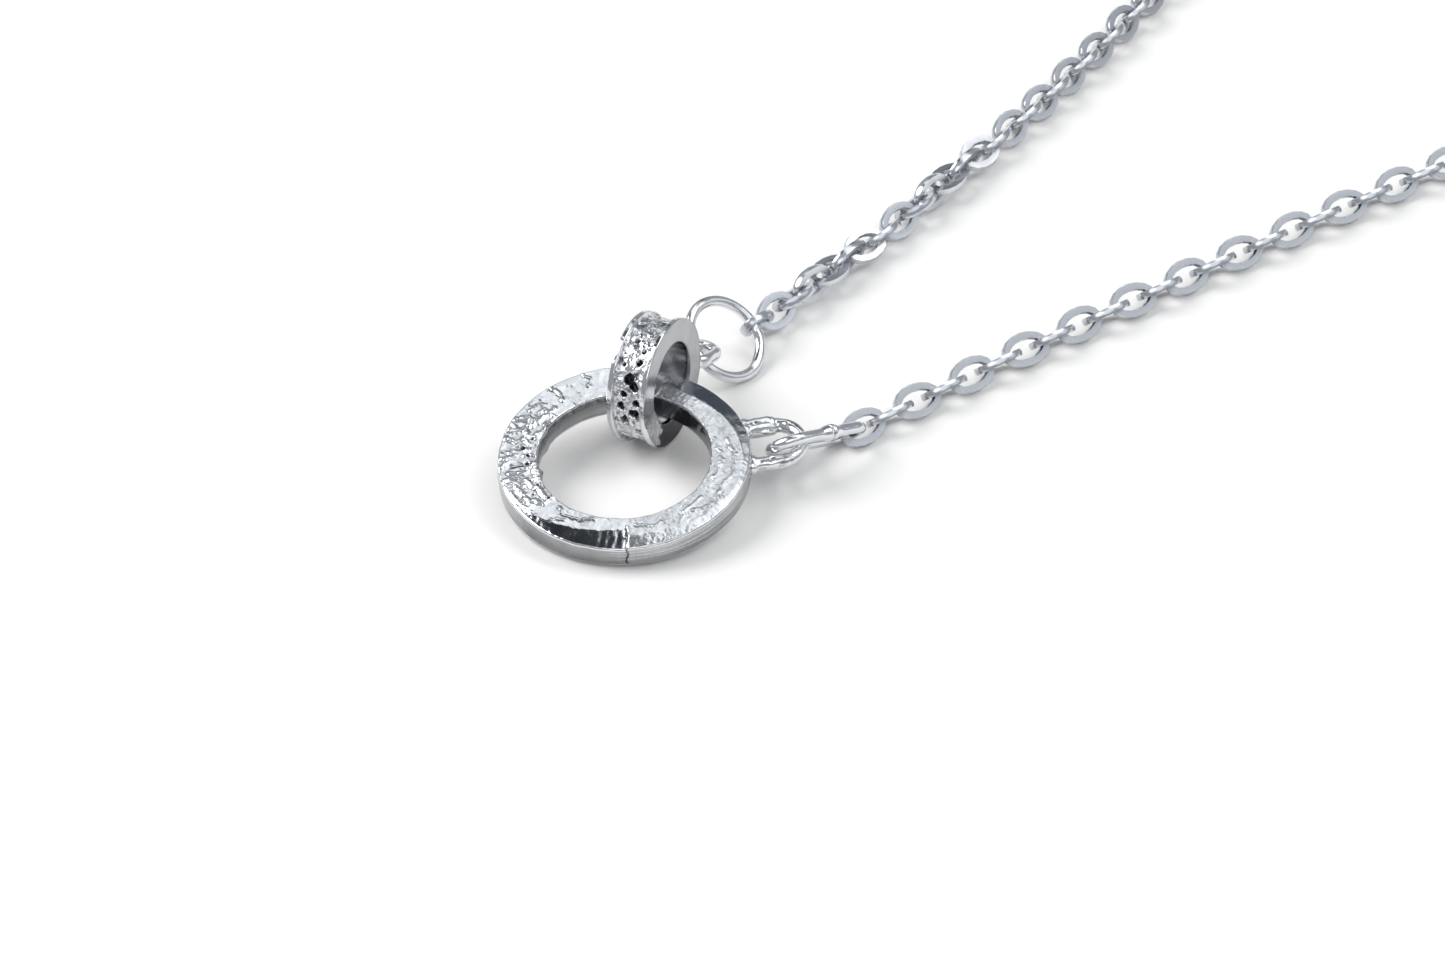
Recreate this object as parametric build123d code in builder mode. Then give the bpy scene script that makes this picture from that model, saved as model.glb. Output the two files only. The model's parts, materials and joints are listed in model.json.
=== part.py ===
from build123d import *
import os
from math import asin, atan, ceil, cos, degrees, radians, sin, sqrt, tan

# A cast circle pendant on a fine cable chain, lying as a loop on a flat surface.
# Lengths are millimetres and angles degrees. The loop's long axis is Y, with the
# pendant towards -Y and the clasp towards +Y.

quarter = 90             # degrees of a right angle

# Clearances
chain_gap = 0.18         # between neighbouring links where they run straight
seat_gap = 0.24          # under the circle's middle where it sits in the band
floor_gap = 0.02         # under what rests on the surface
hook_gap = 0.18          # between a link and the wire that it hooks
bend_ease = 0.01         # by which a round end's bends stop short of a half circle

# Cast circle
circle_radius = 7.5
circle_width = 2.34
circle_height = 1.86
circle_corner = 0.4      # chamfer of the two lower corners
circle_edge = 0.12       # chamfer of the two upper corners
circle_low_side = -65.5  # direction in which the circle leans down
shoulder_drop = 0.3      # deepest cut of the sloping outer facet
shoulder_slope = 12      # fall of that facet towards the rim
shoulder_side = 25       # direction of its deepest stretch

# Cast relief on the circle's top
relief_side = 224        # direction of the roughest stretch's middle
ridge_height = 0.15
ridge_sink = 0.2         # how far a ridge starts below the top
pit_depth = 0.3

# Eye on the circle, a bent wire whose one leg ends in a thicker stub
eye_direction = 53
eye_outside = 3.92
eye_wire = 0.88
eye_bend = 1.4           # radius of its two corners
eye_reach = 3.5          # from the circle's rim to the eye's far edge
eye_root = 1.1           # how far its legs run into the circle's wall
eye_stub = 1.2           # thickness of the stub
eye_stub_reach = 1.8     # from the circle's rim to the stub's end

# Channelled band that rides on the circle
band_slack = 1.33        # hole radius beyond half of the circle's width
band_wall = 1.47
band_width = 2.5
band_rim = 0.32
channel_depth = 0.3
channel_taper = 8        # slope of the walls of the channel's pits
band_edge = 0.06         # chamfer of the hole's two rims
band_place = 117.7       # direction of the band from the circle's middle
band_inset = 0.25        # how far its middle lies inside the circle's middle line
band_yaw = -8.4          # its turn from square across the circle
band_lean = 3.5          # rise of its axis towards the front face

# Eye soldered to the band's back, a level loop of wire
back_eye_outside = 2.94
back_eye_wire = 0.8
back_eye_reach = 3.5     # from the band's rim radius to the eye's far edge
back_eye_root = 0.1      # how far the loop's middle line runs into the band's wall
back_eye_across = 0.15   # along the band's axis from its middle
back_eye_slack = 0.54    # free play between the loop's end and the jump ring

# Round jump ring through the band's eye
jump_radius = 2.53       # of the wire's middle line
jump_wire = 0.66
jump_turn = 9.9          # direction of the ring's axis
jump_rise = 49.9         # and its rise above level
jump_grip = 168          # where the eye holds it, around the ring
jump_pull = 350          # where the chain holds it

# Flattened jump ring from the circle's eye to the chain
oval_width = 3.1
oval_wire = 0.72
oval_slack = 0.75        # free play behind the circle's eye
oval_aside = -5.5        # degrees that it stands aside of the middle of that eye
oval_lift = 0.62         # how far its near end stands above the middle of that eye
oval_tip = 0.28          # free play beyond the first link's wire
oval_lean = 45           # its fall to the side away from the front
oval_cut = 0.1
oval_cut_place = 0.01    # the cut's place along the ring, as a share of its length
oval_flare = 1.0         # thickness of its two ends at the cut
oval_flare_run = 0.7     # length of each flared end

# Cable chain, of flat oval links
link_length = 3.41
link_width = 2.2
link_wire = 0.48
link_thickness = 0.42
link_roll = 45           # each link leans this way or that by as much
back_pitch = 1.78        # the back strand lies bunched for its first stretch
bunched_count = 24       # links in that stretch
back_lift = 0.2          # by which the round jump ring holds up that stretch's first link
lifted_count = 4         # links over which the lift runs out
hook_roll = -55          # lean of the link on the round jump ring

# Plain spring ring and catch ring, at the hidden end
clasp_radius = 2.75      # of the tube's middle line
clasp_tube = 0.65
clasp_eye_radius = 0.95  # of its wire's middle line
clasp_eye_wire = 0.5
clasp_knob = 0.6
clasp_knob_reach = 0.6   # how far it stands out of the tube
clasp_rise = 4           # it lies with its far side raised on the catch ring
catch_wire = 0.4
catch_play = 0.45        # free play at each side of the catch ring

# The loop in which it lies, measured from the circle's middle
loop_length = 201
loop_width = 89
clasp_span = 10.4        # between the middles of the two strands' last links
front_start = (6.67, 13.5)     # middle of the front strand's first link
back_start = (-4.95, 18.15)    # and of the back strand's first link on the ground

# Few chosen points of the two strands from there round to the clasp: across as a
# share of the loop's width, along as a share of its length
front_route = [
    # across, along
    (0.0994, 0.1408),
    (0.1273, 0.2114),
    (0.1562, 0.2786),
    (0.2247, 0.3980),
    (0.3258, 0.5174),
    (0.4270, 0.6318),
    (0.4831, 0.7463),
    (0.4607, 0.8557),
    (0.3539, 0.9428),
    (0.1966, 0.9881),
]
back_route = [
    # across, along
    (-0.0685, 0.1493),
    (-0.0854, 0.2040),
    (-0.1225, 0.2886),
    (-0.2000, 0.4030),
    (-0.3146, 0.5199),
    (-0.4326, 0.6318),
    (-0.5000, 0.7463),
    (-0.4775, 0.8557),
    (-0.3708, 0.9428),
    (-0.2247, 0.9891),
]

# Links of the back strand that each turn a little further than the last, by their
# place in it. They add up to half a turn, so the lean is plain again after them.
turning_links = [1, 2, 3, 4, 5, 6, 8, 9, 10, 11, 12, 13]

# Ridges of the cast relief. around: degrees anticlockwise from the middle of the
# rough stretch. across: share of the width, out from the hole. long and wide:
# shares of the width. turn: degrees from square across the circle.
ridges = [
    # around, across, long, wide, turn
    (-41, 0.68, 0.50, 0.10, 70),
    (-37, 0.32, 0.55, 0.12, 80),
    (-29, 0.76, 0.40, 0.11, 14),
    (-28, 0.46, 0.34, 0.12, 74),
    (-25, 0.08, 0.50, 0.12, 88),
    (-20, 0.68, 0.50, 0.11, 10),
    (-14, 0.72, 0.40, 0.11, -8),
    (-12, 0.34, 0.36, 0.12, -22),
    (-6, 0.36, 0.32, 0.13, 74),
    (-1, 0.72, 0.36, 0.09, 12),
    (10, 0.56, 0.52, 0.13, -6),
    (12, 0.05, 0.56, 0.15, 86),
    (18, 0.68, 0.62, 0.12, 4),
    (22, 0.32, 0.34, 0.12, -44),
    (24, 0.64, 0.36, 0.11, 60),
    (31, 0.19, 0.62, 0.11, 82),
    (33, 0.60, 0.36, 0.11, 70),
    (36, 0.78, 0.30, 0.10, 84),
    (37, 0.34, 0.42, 0.10, 14),
]

# Pits beside them: around and across as above, wide as a share of the width
pits = [
    # around, across, wide
    (-8.5, 0.38, 0.12),
    (-3, 0.24, 0.08),
    (4, 0.25, 0.10),
    (23.5, 0.16, 0.07),
    (36.7, 0.14, 0.07),
]

# Pits in the band's channel. around: degrees from the top towards the front.
# across: share of the channel's half width. wide: share of that half width.
channel_pits = [
    # around, across, wide
    (40, 0.42, 0.30),
    (57, -0.10, 0.44),
    (66, 0.38, 0.50),
    (82, -0.46, 0.34),
    (88, 0.34, 0.44),
    (101, -0.24, 0.48),
    (126, 0.20, 0.36),
    (158, -0.30, 0.42),
    (205, 0.34, 0.40),
    (262, -0.20, 0.42),
    (325, 0.24, 0.38),
]


def direction(turn, rise=0.0):
    """A unit vector by its direction in the floor plane and its rise above it."""
    flat = cos(radians(rise))
    return Vector(flat * cos(radians(turn)), flat * sin(radians(turn)), sin(radians(rise)))


def sagitta(radius, half_chord):
    """How far a circle falls away at half a chord from its lowest point."""
    return radius - sqrt(radius**2 - half_chord**2)


def ring_plane(middle, normal, start):
    """A plane at middle, square to normal, with its x axis near start."""
    return Plane(origin=middle, x_dir=start - normal * start.dot(normal), z_dir=normal)


# Where the band stands and how high it carries the circle
circle_inside = circle_radius - circle_width
circle_middle = circle_radius - circle_width / 2
band_hole = circle_width / 2 + band_slack
band_radius = band_hole + band_wall
band_stand = band_radius * cos(radians(band_lean)) + band_width / 2 * sin(radians(band_lean))
seat_rise = max(
    sagitta(band_hole, circle_width / 2 - circle_corner),
    sagitta(band_hole, circle_width / 2) - circle_corner,
)
seat_height = band_stand - band_hole + seat_rise + seat_gap
circle_tilt = degrees(asin(seat_height / (circle_radius + circle_middle)))

circle_normal = direction(circle_low_side, quarter - circle_tilt)
circle_centre = Vector(
    0,
    0,
    circle_height / 2 * cos(radians(circle_tilt)) + circle_radius * sin(radians(circle_tilt)),
)
circle_plane = ring_plane(circle_centre, circle_normal, Vector(1, 0, 0))
circle_top = circle_plane.offset(circle_height / 2)
circle_axis = Axis(circle_centre, circle_normal)
circle_side = Plane(origin=circle_centre, x_dir=circle_plane.x_dir, z_dir=-circle_plane.y_dir)


def on_circle(turn, radius, height=0.0):
    """A point by its direction and distance from the circle's axis, in its plane."""
    return circle_plane.from_local_coords((radius * cos(radians(turn)), radius * sin(radians(turn)), height))


# The eye's wire, by its middle line
eye_plane = ring_plane(circle_centre, circle_normal, on_circle(eye_direction, 1) - circle_centre)
eye_near = circle_radius - eye_root
eye_middle = circle_radius + eye_reach - eye_wire / 2
eye_half = (eye_outside - eye_wire) / 2

with BuildPart() as circle_ring:
    with BuildSketch(circle_side):
        with BuildLine():
            Polyline(
                (circle_inside + circle_corner, -circle_height / 2),
                (circle_radius - circle_corner, -circle_height / 2),
                (circle_radius, circle_corner - circle_height / 2),
                (circle_radius, circle_height / 2 - circle_edge),
                (circle_radius - circle_edge, circle_height / 2),
                (circle_inside + circle_edge, circle_height / 2),
                (circle_inside, circle_height / 2 - circle_edge),
                (circle_inside, circle_corner - circle_height / 2),
                close=True,
            )
        make_face()
    revolve(axis=circle_axis)

    # The sloping facet, deepest at one side and running out at the other
    facet_lean = degrees(asin(shoulder_drop / (2 * circle_radius)))
    facet_normal = (
        circle_normal * cos(radians(facet_lean))
        + direction(shoulder_side) * sin(radians(facet_lean))
    ).normalized()
    facet_centre = circle_top.origin - circle_normal * (shoulder_drop / 2)
    facet_side = Plane(
        origin=facet_centre,
        x_dir=circle_plane.x_dir - facet_normal * circle_plane.x_dir.dot(facet_normal),
        z_dir=circle_plane.x_dir.cross(facet_normal),
    )
    facet_reach = circle_radius + circle_width
    facet_rise = facet_reach * tan(radians(shoulder_slope))
    facet_foot = circle_radius * tan(radians(shoulder_slope))
    with BuildSketch(facet_side):
        with BuildLine():
            Polyline(
                (0, facet_foot),
                (facet_reach, facet_foot - facet_rise),
                (facet_reach, facet_foot + circle_height),
                (0, facet_foot + circle_height),
                close=True,
            )
        make_face()
    revolve(axis=Axis(facet_centre, facet_normal), mode=Mode.SUBTRACT)

    # Raised relief
    with BuildSketch(circle_top.offset(-ridge_sink)):
        for around, across, long, wide, turn in ridges:
            place = relief_side + around
            out = circle_inside + across * circle_width
            with Locations(Location((out * cos(radians(place)), out * sin(radians(place))), place + turn)):
                SlotOverall(long * circle_width, wide * circle_width)
    extrude(amount=ridge_sink + ridge_height)
    with BuildSketch(circle_top):
        for around, across, wide in pits:
            place = relief_side + around
            out = circle_inside + across * circle_width
            with Locations((out * cos(radians(place)), out * sin(radians(place)))):
                Circle(wide * circle_width / 2)
    extrude(amount=-pit_depth, mode=Mode.SUBTRACT)

    # The eye, a bent wire whose two legs are lost in the circle's wall
    with BuildLine(eye_plane):
        FilletPolyline(
            (eye_near, -eye_half),
            (eye_middle, -eye_half),
            (eye_middle, eye_half),
            (eye_near, eye_half),
            radius=eye_bend,
        )
    with BuildSketch(Plane(origin=eye_plane.from_local_coords((eye_near, -eye_half)), z_dir=eye_plane.x_dir)):
        Circle(eye_wire / 2)
    sweep()
    with BuildSketch(Plane(origin=eye_plane.from_local_coords((eye_near, eye_half)), z_dir=eye_plane.x_dir)):
        Circle(eye_stub / 2)
    extrude(amount=circle_radius + eye_stub_reach - eye_near)
circle_ring.part.label = "circle_ring"

# The band stands across the circle and holds it up
band_turn = band_place - quarter + band_yaw
band_middle = on_circle(band_place, circle_middle - band_inset)
band_centre = Vector(band_middle.X, band_middle.Y, band_stand + floor_gap)
band_axis = direction(band_turn, band_lean)
band_plane = ring_plane(band_centre, band_axis, Vector(0, 0, 1))
band_side = Plane(origin=band_centre, x_dir=band_plane.x_dir, z_dir=-band_plane.y_dir)
channel_half = band_width / 2 - band_rim
channel_floor = band_radius - channel_depth

# Where the jump ring's wire passes the band's back
jump_normal = direction(jump_turn, jump_rise)
jump_level = direction(jump_turn + quarter)
jump_up = jump_normal.cross(jump_level)


def on_jump(around):
    """The way from the jump ring's middle to its wire's middle line."""
    return (jump_level * cos(radians(around)) + jump_up * sin(radians(around))) * jump_radius


jump_stand = jump_wire / 2 + jump_radius * cos(radians(jump_rise)) + floor_gap
back_eye_out = band_radius + back_eye_reach - back_eye_wire - jump_wire / 2 - back_eye_slack
back_eye_lift = jump_stand + on_jump(jump_grip).Z - band_centre.Z - back_eye_across * sin(radians(band_lean))
back_eye_angle = degrees(asin(back_eye_lift / (back_eye_out * cos(radians(band_lean)))))
back_side = direction(band_turn + quarter)
back_eye_way = (
    back_side * cos(radians(back_eye_angle))
    + band_plane.x_dir * sin(radians(back_eye_angle))
).normalized()
back_eye_half = (back_eye_outside - back_eye_wire) / 2
back_eye_near = band_radius - back_eye_root
back_eye_middle = band_radius + back_eye_reach - back_eye_wire / 2
band_eye_spot = band_centre + band_axis * back_eye_across
grip = band_eye_spot + back_eye_way * back_eye_out
jump_centre = grip - on_jump(jump_grip)

with BuildPart() as channel_band:
    with BuildSketch(band_side):
        with BuildLine():
            Polyline(
                (band_hole + band_edge, -band_width / 2),
                (band_radius, -band_width / 2),
                (band_radius, -channel_half),
                (channel_floor, -channel_half + channel_depth / 2),
                (channel_floor, channel_half - channel_depth / 2),
                (band_radius, channel_half),
                (band_radius, band_width / 2),
                (band_hole + band_edge, band_width / 2),
                (band_hole, band_width / 2 - band_edge),
                (band_hole, band_edge - band_width / 2),
                close=True,
            )
        make_face()
    revolve(axis=Axis(band_centre, band_axis))
    for around, across, wide in channel_pits:
        way = band_plane.x_dir * cos(radians(around)) - back_side * sin(radians(around))
        spot = band_centre + band_axis * (across * channel_half) + way * channel_floor
        with BuildSketch(ring_plane(spot + way * channel_depth, -way, band_axis)):
            Circle(wide * channel_half)
        extrude(amount=channel_depth + pit_depth, taper=channel_taper, mode=Mode.SUBTRACT)

    # The soldered eye, a closed loop of wire whose near end is lost in the band's wall
    with BuildLine(Plane(origin=band_eye_spot, x_dir=back_eye_way, z_dir=back_eye_way.cross(band_axis))) as loop:
        FilletPolyline(
            (back_eye_near, -back_eye_half),
            (back_eye_middle, -back_eye_half),
            (back_eye_middle, back_eye_half),
            (back_eye_near, back_eye_half),
            radius=back_eye_half - bend_ease,
            close=True,
        )
    with BuildSketch(Plane(origin=loop.line @ 0, z_dir=loop.line % 0)):
        Circle(back_eye_wire / 2)
    sweep()
    with BuildSketch(band_side):
        Rectangle(band_hole, 2 * band_width, align=(Align.MIN, Align.CENTER))
    revolve(axis=Axis(band_centre, band_axis), mode=Mode.SUBTRACT)
channel_band.part.label = "channel_band"

with BuildPart(ring_plane(jump_centre, jump_normal, jump_level)) as jump_ring:
    Torus(jump_radius, jump_wire / 2)
jump_ring.part.label = "jump_ring"

# One link, flat in its own plane with its length along x
link_reach = link_length / 2 - link_wire
link_room = sqrt(1 - (link_thickness / (link_width - 2 * link_wire)) ** 2)
link_pitch = 2 * link_reach * link_room - chain_gap
with BuildPart() as link:
    with BuildSketch(Plane.XY.offset(-link_thickness / 2)):
        Ellipse(link_length / 2, link_width / 2)
        Ellipse(link_reach, link_width / 2 - link_wire, mode=Mode.SUBTRACT)
    extrude(amount=link_thickness)


def leaning_plane(middle, along, roll):
    """A plane with x along, whose normal leans by roll from upright to the right."""
    right = along.cross(Vector(0, 0, 1)).normalized()
    over = right.cross(along).normalized()
    return Plane(origin=middle, x_dir=along, z_dir=over * cos(radians(roll)) + right * sin(radians(roll)))


def resting(roll):
    """How high a link's middle lies above the floor when it leans by roll."""
    across = link_width / 2 * abs(sin(radians(roll)))
    return across + link_thickness / 2 * abs(cos(radians(roll))) + floor_gap


def strand_planes(start, shares, end, bunched, turning, lift):
    """The planes of a strand's links: the first stretch bunched, the rest pulled out."""
    points = [(across * loop_width, along * loop_length) for across, along in shares]
    with BuildLine() as route:
        Spline(start, *points, (end, loop_length))
    run = route.line.edge()
    loose = bunched * back_pitch
    taut = ceil((run.length - loose) / link_pitch)
    steps = [back_pitch * count for count in range(bunched)]
    steps += [loose + (run.length - loose) * count / taut for count in range(taut + 1)]
    planes = []
    roll = link_roll
    for count, step in enumerate(steps):
        if count in turning:
            roll += 2 * quarter / len(turning)
        share = step / run.length
        along = run.tangent_at(share)
        height = max(resting(roll), resting(roll + quarter)) + lift * max(0, 1 - count / lifted_count)
        planes.append(leaning_plane(run.position_at(share) + Vector(0, 0, height), along, roll))
        roll += quarter
    return planes


def chain(planes, label):
    """Loose links at the given planes, as one piece of many solids."""
    shape = link.part.solid()
    return Compound(label=label, children=[shape.moved(plane.location) for plane in planes])


def end_wire(plane, side):
    """The middle of the wire at a link's far end, or at its near end where side is -1."""
    return plane.origin + plane.x_dir * (side * (link_length - link_wire) / 2)


front_planes = strand_planes(front_start, front_route, clasp_span / 2, 0, [], 0)
back_planes = strand_planes(
    back_start, back_route, -clasp_span / 2, bunched_count, turning_links, back_lift
)

# The back strand's first link runs from the round jump ring to the next link
pull = jump_centre + on_jump(jump_pull)
second = end_wire(back_planes[0], -1)
hook_way = (second - pull).normalized()
hook_reach = link_reach - jump_wire / 2 - hook_gap
hook_plane = leaning_plane(pull + hook_way * hook_reach, hook_way, hook_roll)
back_planes.insert(0, hook_plane)

chain_front = chain(front_planes, "chain_front")
chain_back = chain(back_planes, "chain_back")

# The oval ring holds the circle's eye and the front strand's first link
oval_hold = eye_middle - eye_wire / 2 - oval_slack - oval_wire / 2
oval_near = on_circle(eye_direction + oval_aside, oval_hold, oval_lift)
oval_far = end_wire(front_planes[0], -1) + front_planes[0].x_dir * (link_wire / 2 + oval_tip + oval_wire / 2)
oval_length = (oval_far - oval_near).length + oval_wire
oval_plane = leaning_plane((oval_near + oval_far) / 2, (oval_far - oval_near).normalized(), -oval_lean)
oval_reach = (oval_length - oval_wire) / 2
oval_half = (oval_width - oval_wire) / 2
cut_middle = oval_cut_place * oval_length
flare_slope = degrees(atan((oval_flare - oval_wire) / 2 / oval_flare_run))
with BuildPart() as oval_jump_ring:
    with BuildLine(oval_plane) as bend:
        FilletPolyline(
            (cut_middle + oval_cut / 2, -oval_half),
            (oval_reach, -oval_half),
            (oval_reach, oval_half),
            (-oval_reach, oval_half),
            (-oval_reach, -oval_half),
            (cut_middle - oval_cut / 2, -oval_half),
            radius=oval_half - bend_ease,
        )
    with BuildSketch(Plane(origin=bend.line @ 0, z_dir=bend.line % 0)):
        Circle(oval_wire / 2)
    sweep()
    for end, way in ((bend.line @ 0, bend.line % 0), (bend.line @ 1, -(bend.line % 1))):
        with BuildSketch(Plane(origin=end, z_dir=way)):
            Circle(oval_flare / 2)
        extrude(amount=oval_flare_run, taper=flare_slope)
oval_jump_ring.part.label = "oval_jump_ring"

# The clasp runs on from the front strand's last link, rising towards the back strand
front_end = end_wire(front_planes[-1], 1)
back_end = end_wire(back_planes[-1], 1)
clasp_level = (back_end - front_end).normalized()
clasp_side = Vector(0, 0, 1).cross(clasp_level)
clasp_way = clasp_level * cos(radians(clasp_rise)) + Vector(0, 0, 1) * sin(radians(clasp_rise))
clasp_up = clasp_way.cross(clasp_side)
clasp_hook = clasp_eye_radius - clasp_eye_wire / 2 - link_wire / 2 - hook_gap
clasp_eye_spot = front_end + clasp_way * clasp_hook
clasp_spot = clasp_eye_spot + clasp_way * (clasp_eye_radius + clasp_radius)
clasp_far = clasp_spot + clasp_way * clasp_radius
clasp_eye_normal = front_planes[-1].z_dir.cross(clasp_way)
with BuildPart() as clasp:
    with BuildSketch(Plane(origin=clasp_spot, x_dir=clasp_way, z_dir=clasp_side)):
        with Locations((clasp_radius, 0)):
            Circle(clasp_tube / 2)
    revolve(axis=Axis(clasp_spot, clasp_up))
    with BuildSketch(Plane(origin=clasp_eye_spot, x_dir=clasp_way, z_dir=clasp_way.cross(clasp_eye_normal))):
        with Locations((clasp_eye_radius, 0)):
            Circle(clasp_eye_wire / 2)
    revolve(axis=Axis(clasp_eye_spot, clasp_eye_normal))
    with BuildSketch(Plane(origin=clasp_spot + clasp_side * clasp_radius, z_dir=clasp_side)):
        Circle(clasp_knob / 2)
    extrude(amount=clasp_tube / 2 + clasp_knob_reach)
clasp.part.label = "clasp"

# The catch ring holds the clasp's far side and the back strand's last link
catch_near = clasp_far - clasp_way * (clasp_tube / 2 + catch_play + catch_wire / 2)
catch_far = back_end - back_planes[-1].x_dir * (link_wire / 2 + catch_play + catch_wire / 2)
catch_line = catch_far - catch_near
catch_normal = back_planes[-1].z_dir.cross(catch_line).normalized()
with BuildPart(ring_plane((catch_near + catch_far) / 2, catch_normal, catch_line)) as clasp_ring:
    Torus(catch_line.length / 2, catch_wire / 2)
clasp_ring.part.label = "clasp_ring"

# Everything is set over the origin, which is the middle of the ground that it covers
pieces = [
    circle_ring.part,
    channel_band.part,
    jump_ring.part,
    oval_jump_ring.part,
    chain_front,
    chain_back,
    clasp.part,
    clasp_ring.part,
]
boxes = [piece.bounding_box() for piece in pieces]
middle_x = (min(box.min.X for box in boxes) + max(box.max.X for box in boxes)) / 2
middle_y = (min(box.min.Y for box in boxes) + max(box.max.Y for box in boxes)) / 2
home = Location((-middle_x, -middle_y, -min(box.min.Z for box in boxes)))

os.makedirs("parts", exist_ok=True)
for piece in pieces:
    placed = piece.moved(home)
    placed.label = piece.label
    export_step(placed, f"parts/{piece.label}.step")
    print(piece.label, "solids", len(placed.solids()), "volume", round(placed.volume, 2))
print("home", home.position)
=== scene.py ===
import json
import math

import bpy
import numpy as np
from bpy.props import FloatProperty, FloatVectorProperty, IntProperty, PointerProperty
from mathutils import Matrix, Vector, noise

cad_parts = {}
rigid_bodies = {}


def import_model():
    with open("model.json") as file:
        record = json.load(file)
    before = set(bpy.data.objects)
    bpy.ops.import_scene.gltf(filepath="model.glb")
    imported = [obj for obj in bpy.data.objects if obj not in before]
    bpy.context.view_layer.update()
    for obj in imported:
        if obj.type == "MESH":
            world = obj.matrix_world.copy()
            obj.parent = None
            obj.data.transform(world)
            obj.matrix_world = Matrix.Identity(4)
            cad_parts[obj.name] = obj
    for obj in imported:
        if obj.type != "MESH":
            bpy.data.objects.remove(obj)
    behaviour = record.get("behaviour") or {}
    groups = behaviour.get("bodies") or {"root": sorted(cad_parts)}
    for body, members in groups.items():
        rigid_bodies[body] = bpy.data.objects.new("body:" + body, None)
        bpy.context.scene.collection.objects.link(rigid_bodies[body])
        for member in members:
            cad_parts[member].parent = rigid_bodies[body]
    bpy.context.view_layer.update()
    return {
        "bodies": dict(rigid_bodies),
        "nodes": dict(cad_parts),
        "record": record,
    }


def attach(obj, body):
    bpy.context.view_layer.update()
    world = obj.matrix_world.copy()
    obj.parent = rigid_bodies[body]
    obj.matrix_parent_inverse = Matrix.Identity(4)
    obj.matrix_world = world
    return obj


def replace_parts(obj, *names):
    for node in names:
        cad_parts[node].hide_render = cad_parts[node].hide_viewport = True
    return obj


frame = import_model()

bl_info = {
    "name": "Circle Necklace",
    "version": (1, 0, 0),
    "blender": (4, 5, 0),
    "location": "View3D > Sidebar > Necklace",
    "description": "Cast circle pendant on a cable chain, as it lies on a table",
    "category": "Object",
}

MM = 0.001
SLOTS = {entry["slot"]: tuple(entry["base_color"][:3]) for entry in frame["record"]["materials"]}

# Where the pieces lie in the shared frame, in millimetres
CIRCLE_CENTRE = (0.78347, -98.22859, 1.95721)
CIRCLE_NORMAL = (0.05698, -0.12504, 0.99051)
EYE_WAY = (0.60084, 0.79664, 0.066)
BAND_CENTRE = (-2.03817, -92.90796, 4.06433)
BAND_AXIS = (0.94204, 0.3299, 0.06105)
BAND_BACK = (-0.33051, 0.9438, 0.0)
LOOP_SPOT = (-1.89687, -92.85847, 4.07349)
LOOP_WAY = (-0.29765, 0.90576, -0.30166)
JUMP_CENTRE = (-3.65232, -85.098, 1.98506)
JUMP_NORMAL = (0.63453, 0.11074, 0.76492)
JUMP_LEVEL = (-0.17193, 0.98511, 0.0)
OVAL_CENTRE = (7.13736, -88.49046, 2.00546)
OVAL_WAY = (0.07183, 0.94684, -0.31358)
OVAL_NORMAL = (-0.68831, 0.27459, 0.67144)
CLASP_CENTRE = (0.54962, 102.69602, 1.22937)
CLASP_WAY = (-0.99725, -0.02503, 0.06976)
CLASP_NORMAL = (0.06973, 0.00175, 0.99756)
CLASP_EYE_CENTRE = (4.23944, 102.78861, 0.97127)
CLASP_EYE_NORMAL = (0.03162, 0.70435, 0.70477)
CATCH_CENTRE = (-2.53281, 102.67942, 1.15246)
CATCH_WAY = (-2.62462, 0.05565, -0.40145)
CATCH_NORMAL = (-0.09149, 0.71143, 0.69678)

# The cast circle: degrees around it are counted from the middle of its rough side
ROUGH_SIDE = 224
HOLE_RADIUS = 5.16
RIM_RADIUS = 7.5
HALF_HEIGHT = 0.93
SHOULDER_SLOPE = math.tan(math.radians(12))

# Where the sloping shoulder starts: degrees around, share of the width out from the hole
SHOULDER = [
    (-180, 0.78), (-163, 0.68), (-148, 0.56), (-138, 0.49), (-126, 0.44), (-116, 0.49),
    (-104, 0.60), (-92, 0.80), (-80, 1.00), (4, 1.00), (12, 0.94), (25, 0.87), (42, 0.80), (59, 0.60),
    (90.8, 0.39), (92.2, 0.62), (110, 0.66), (130, 0.70), (143, 0.80), (160, 0.86),
    (172, 0.82), (180, 0.78),
]

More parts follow.
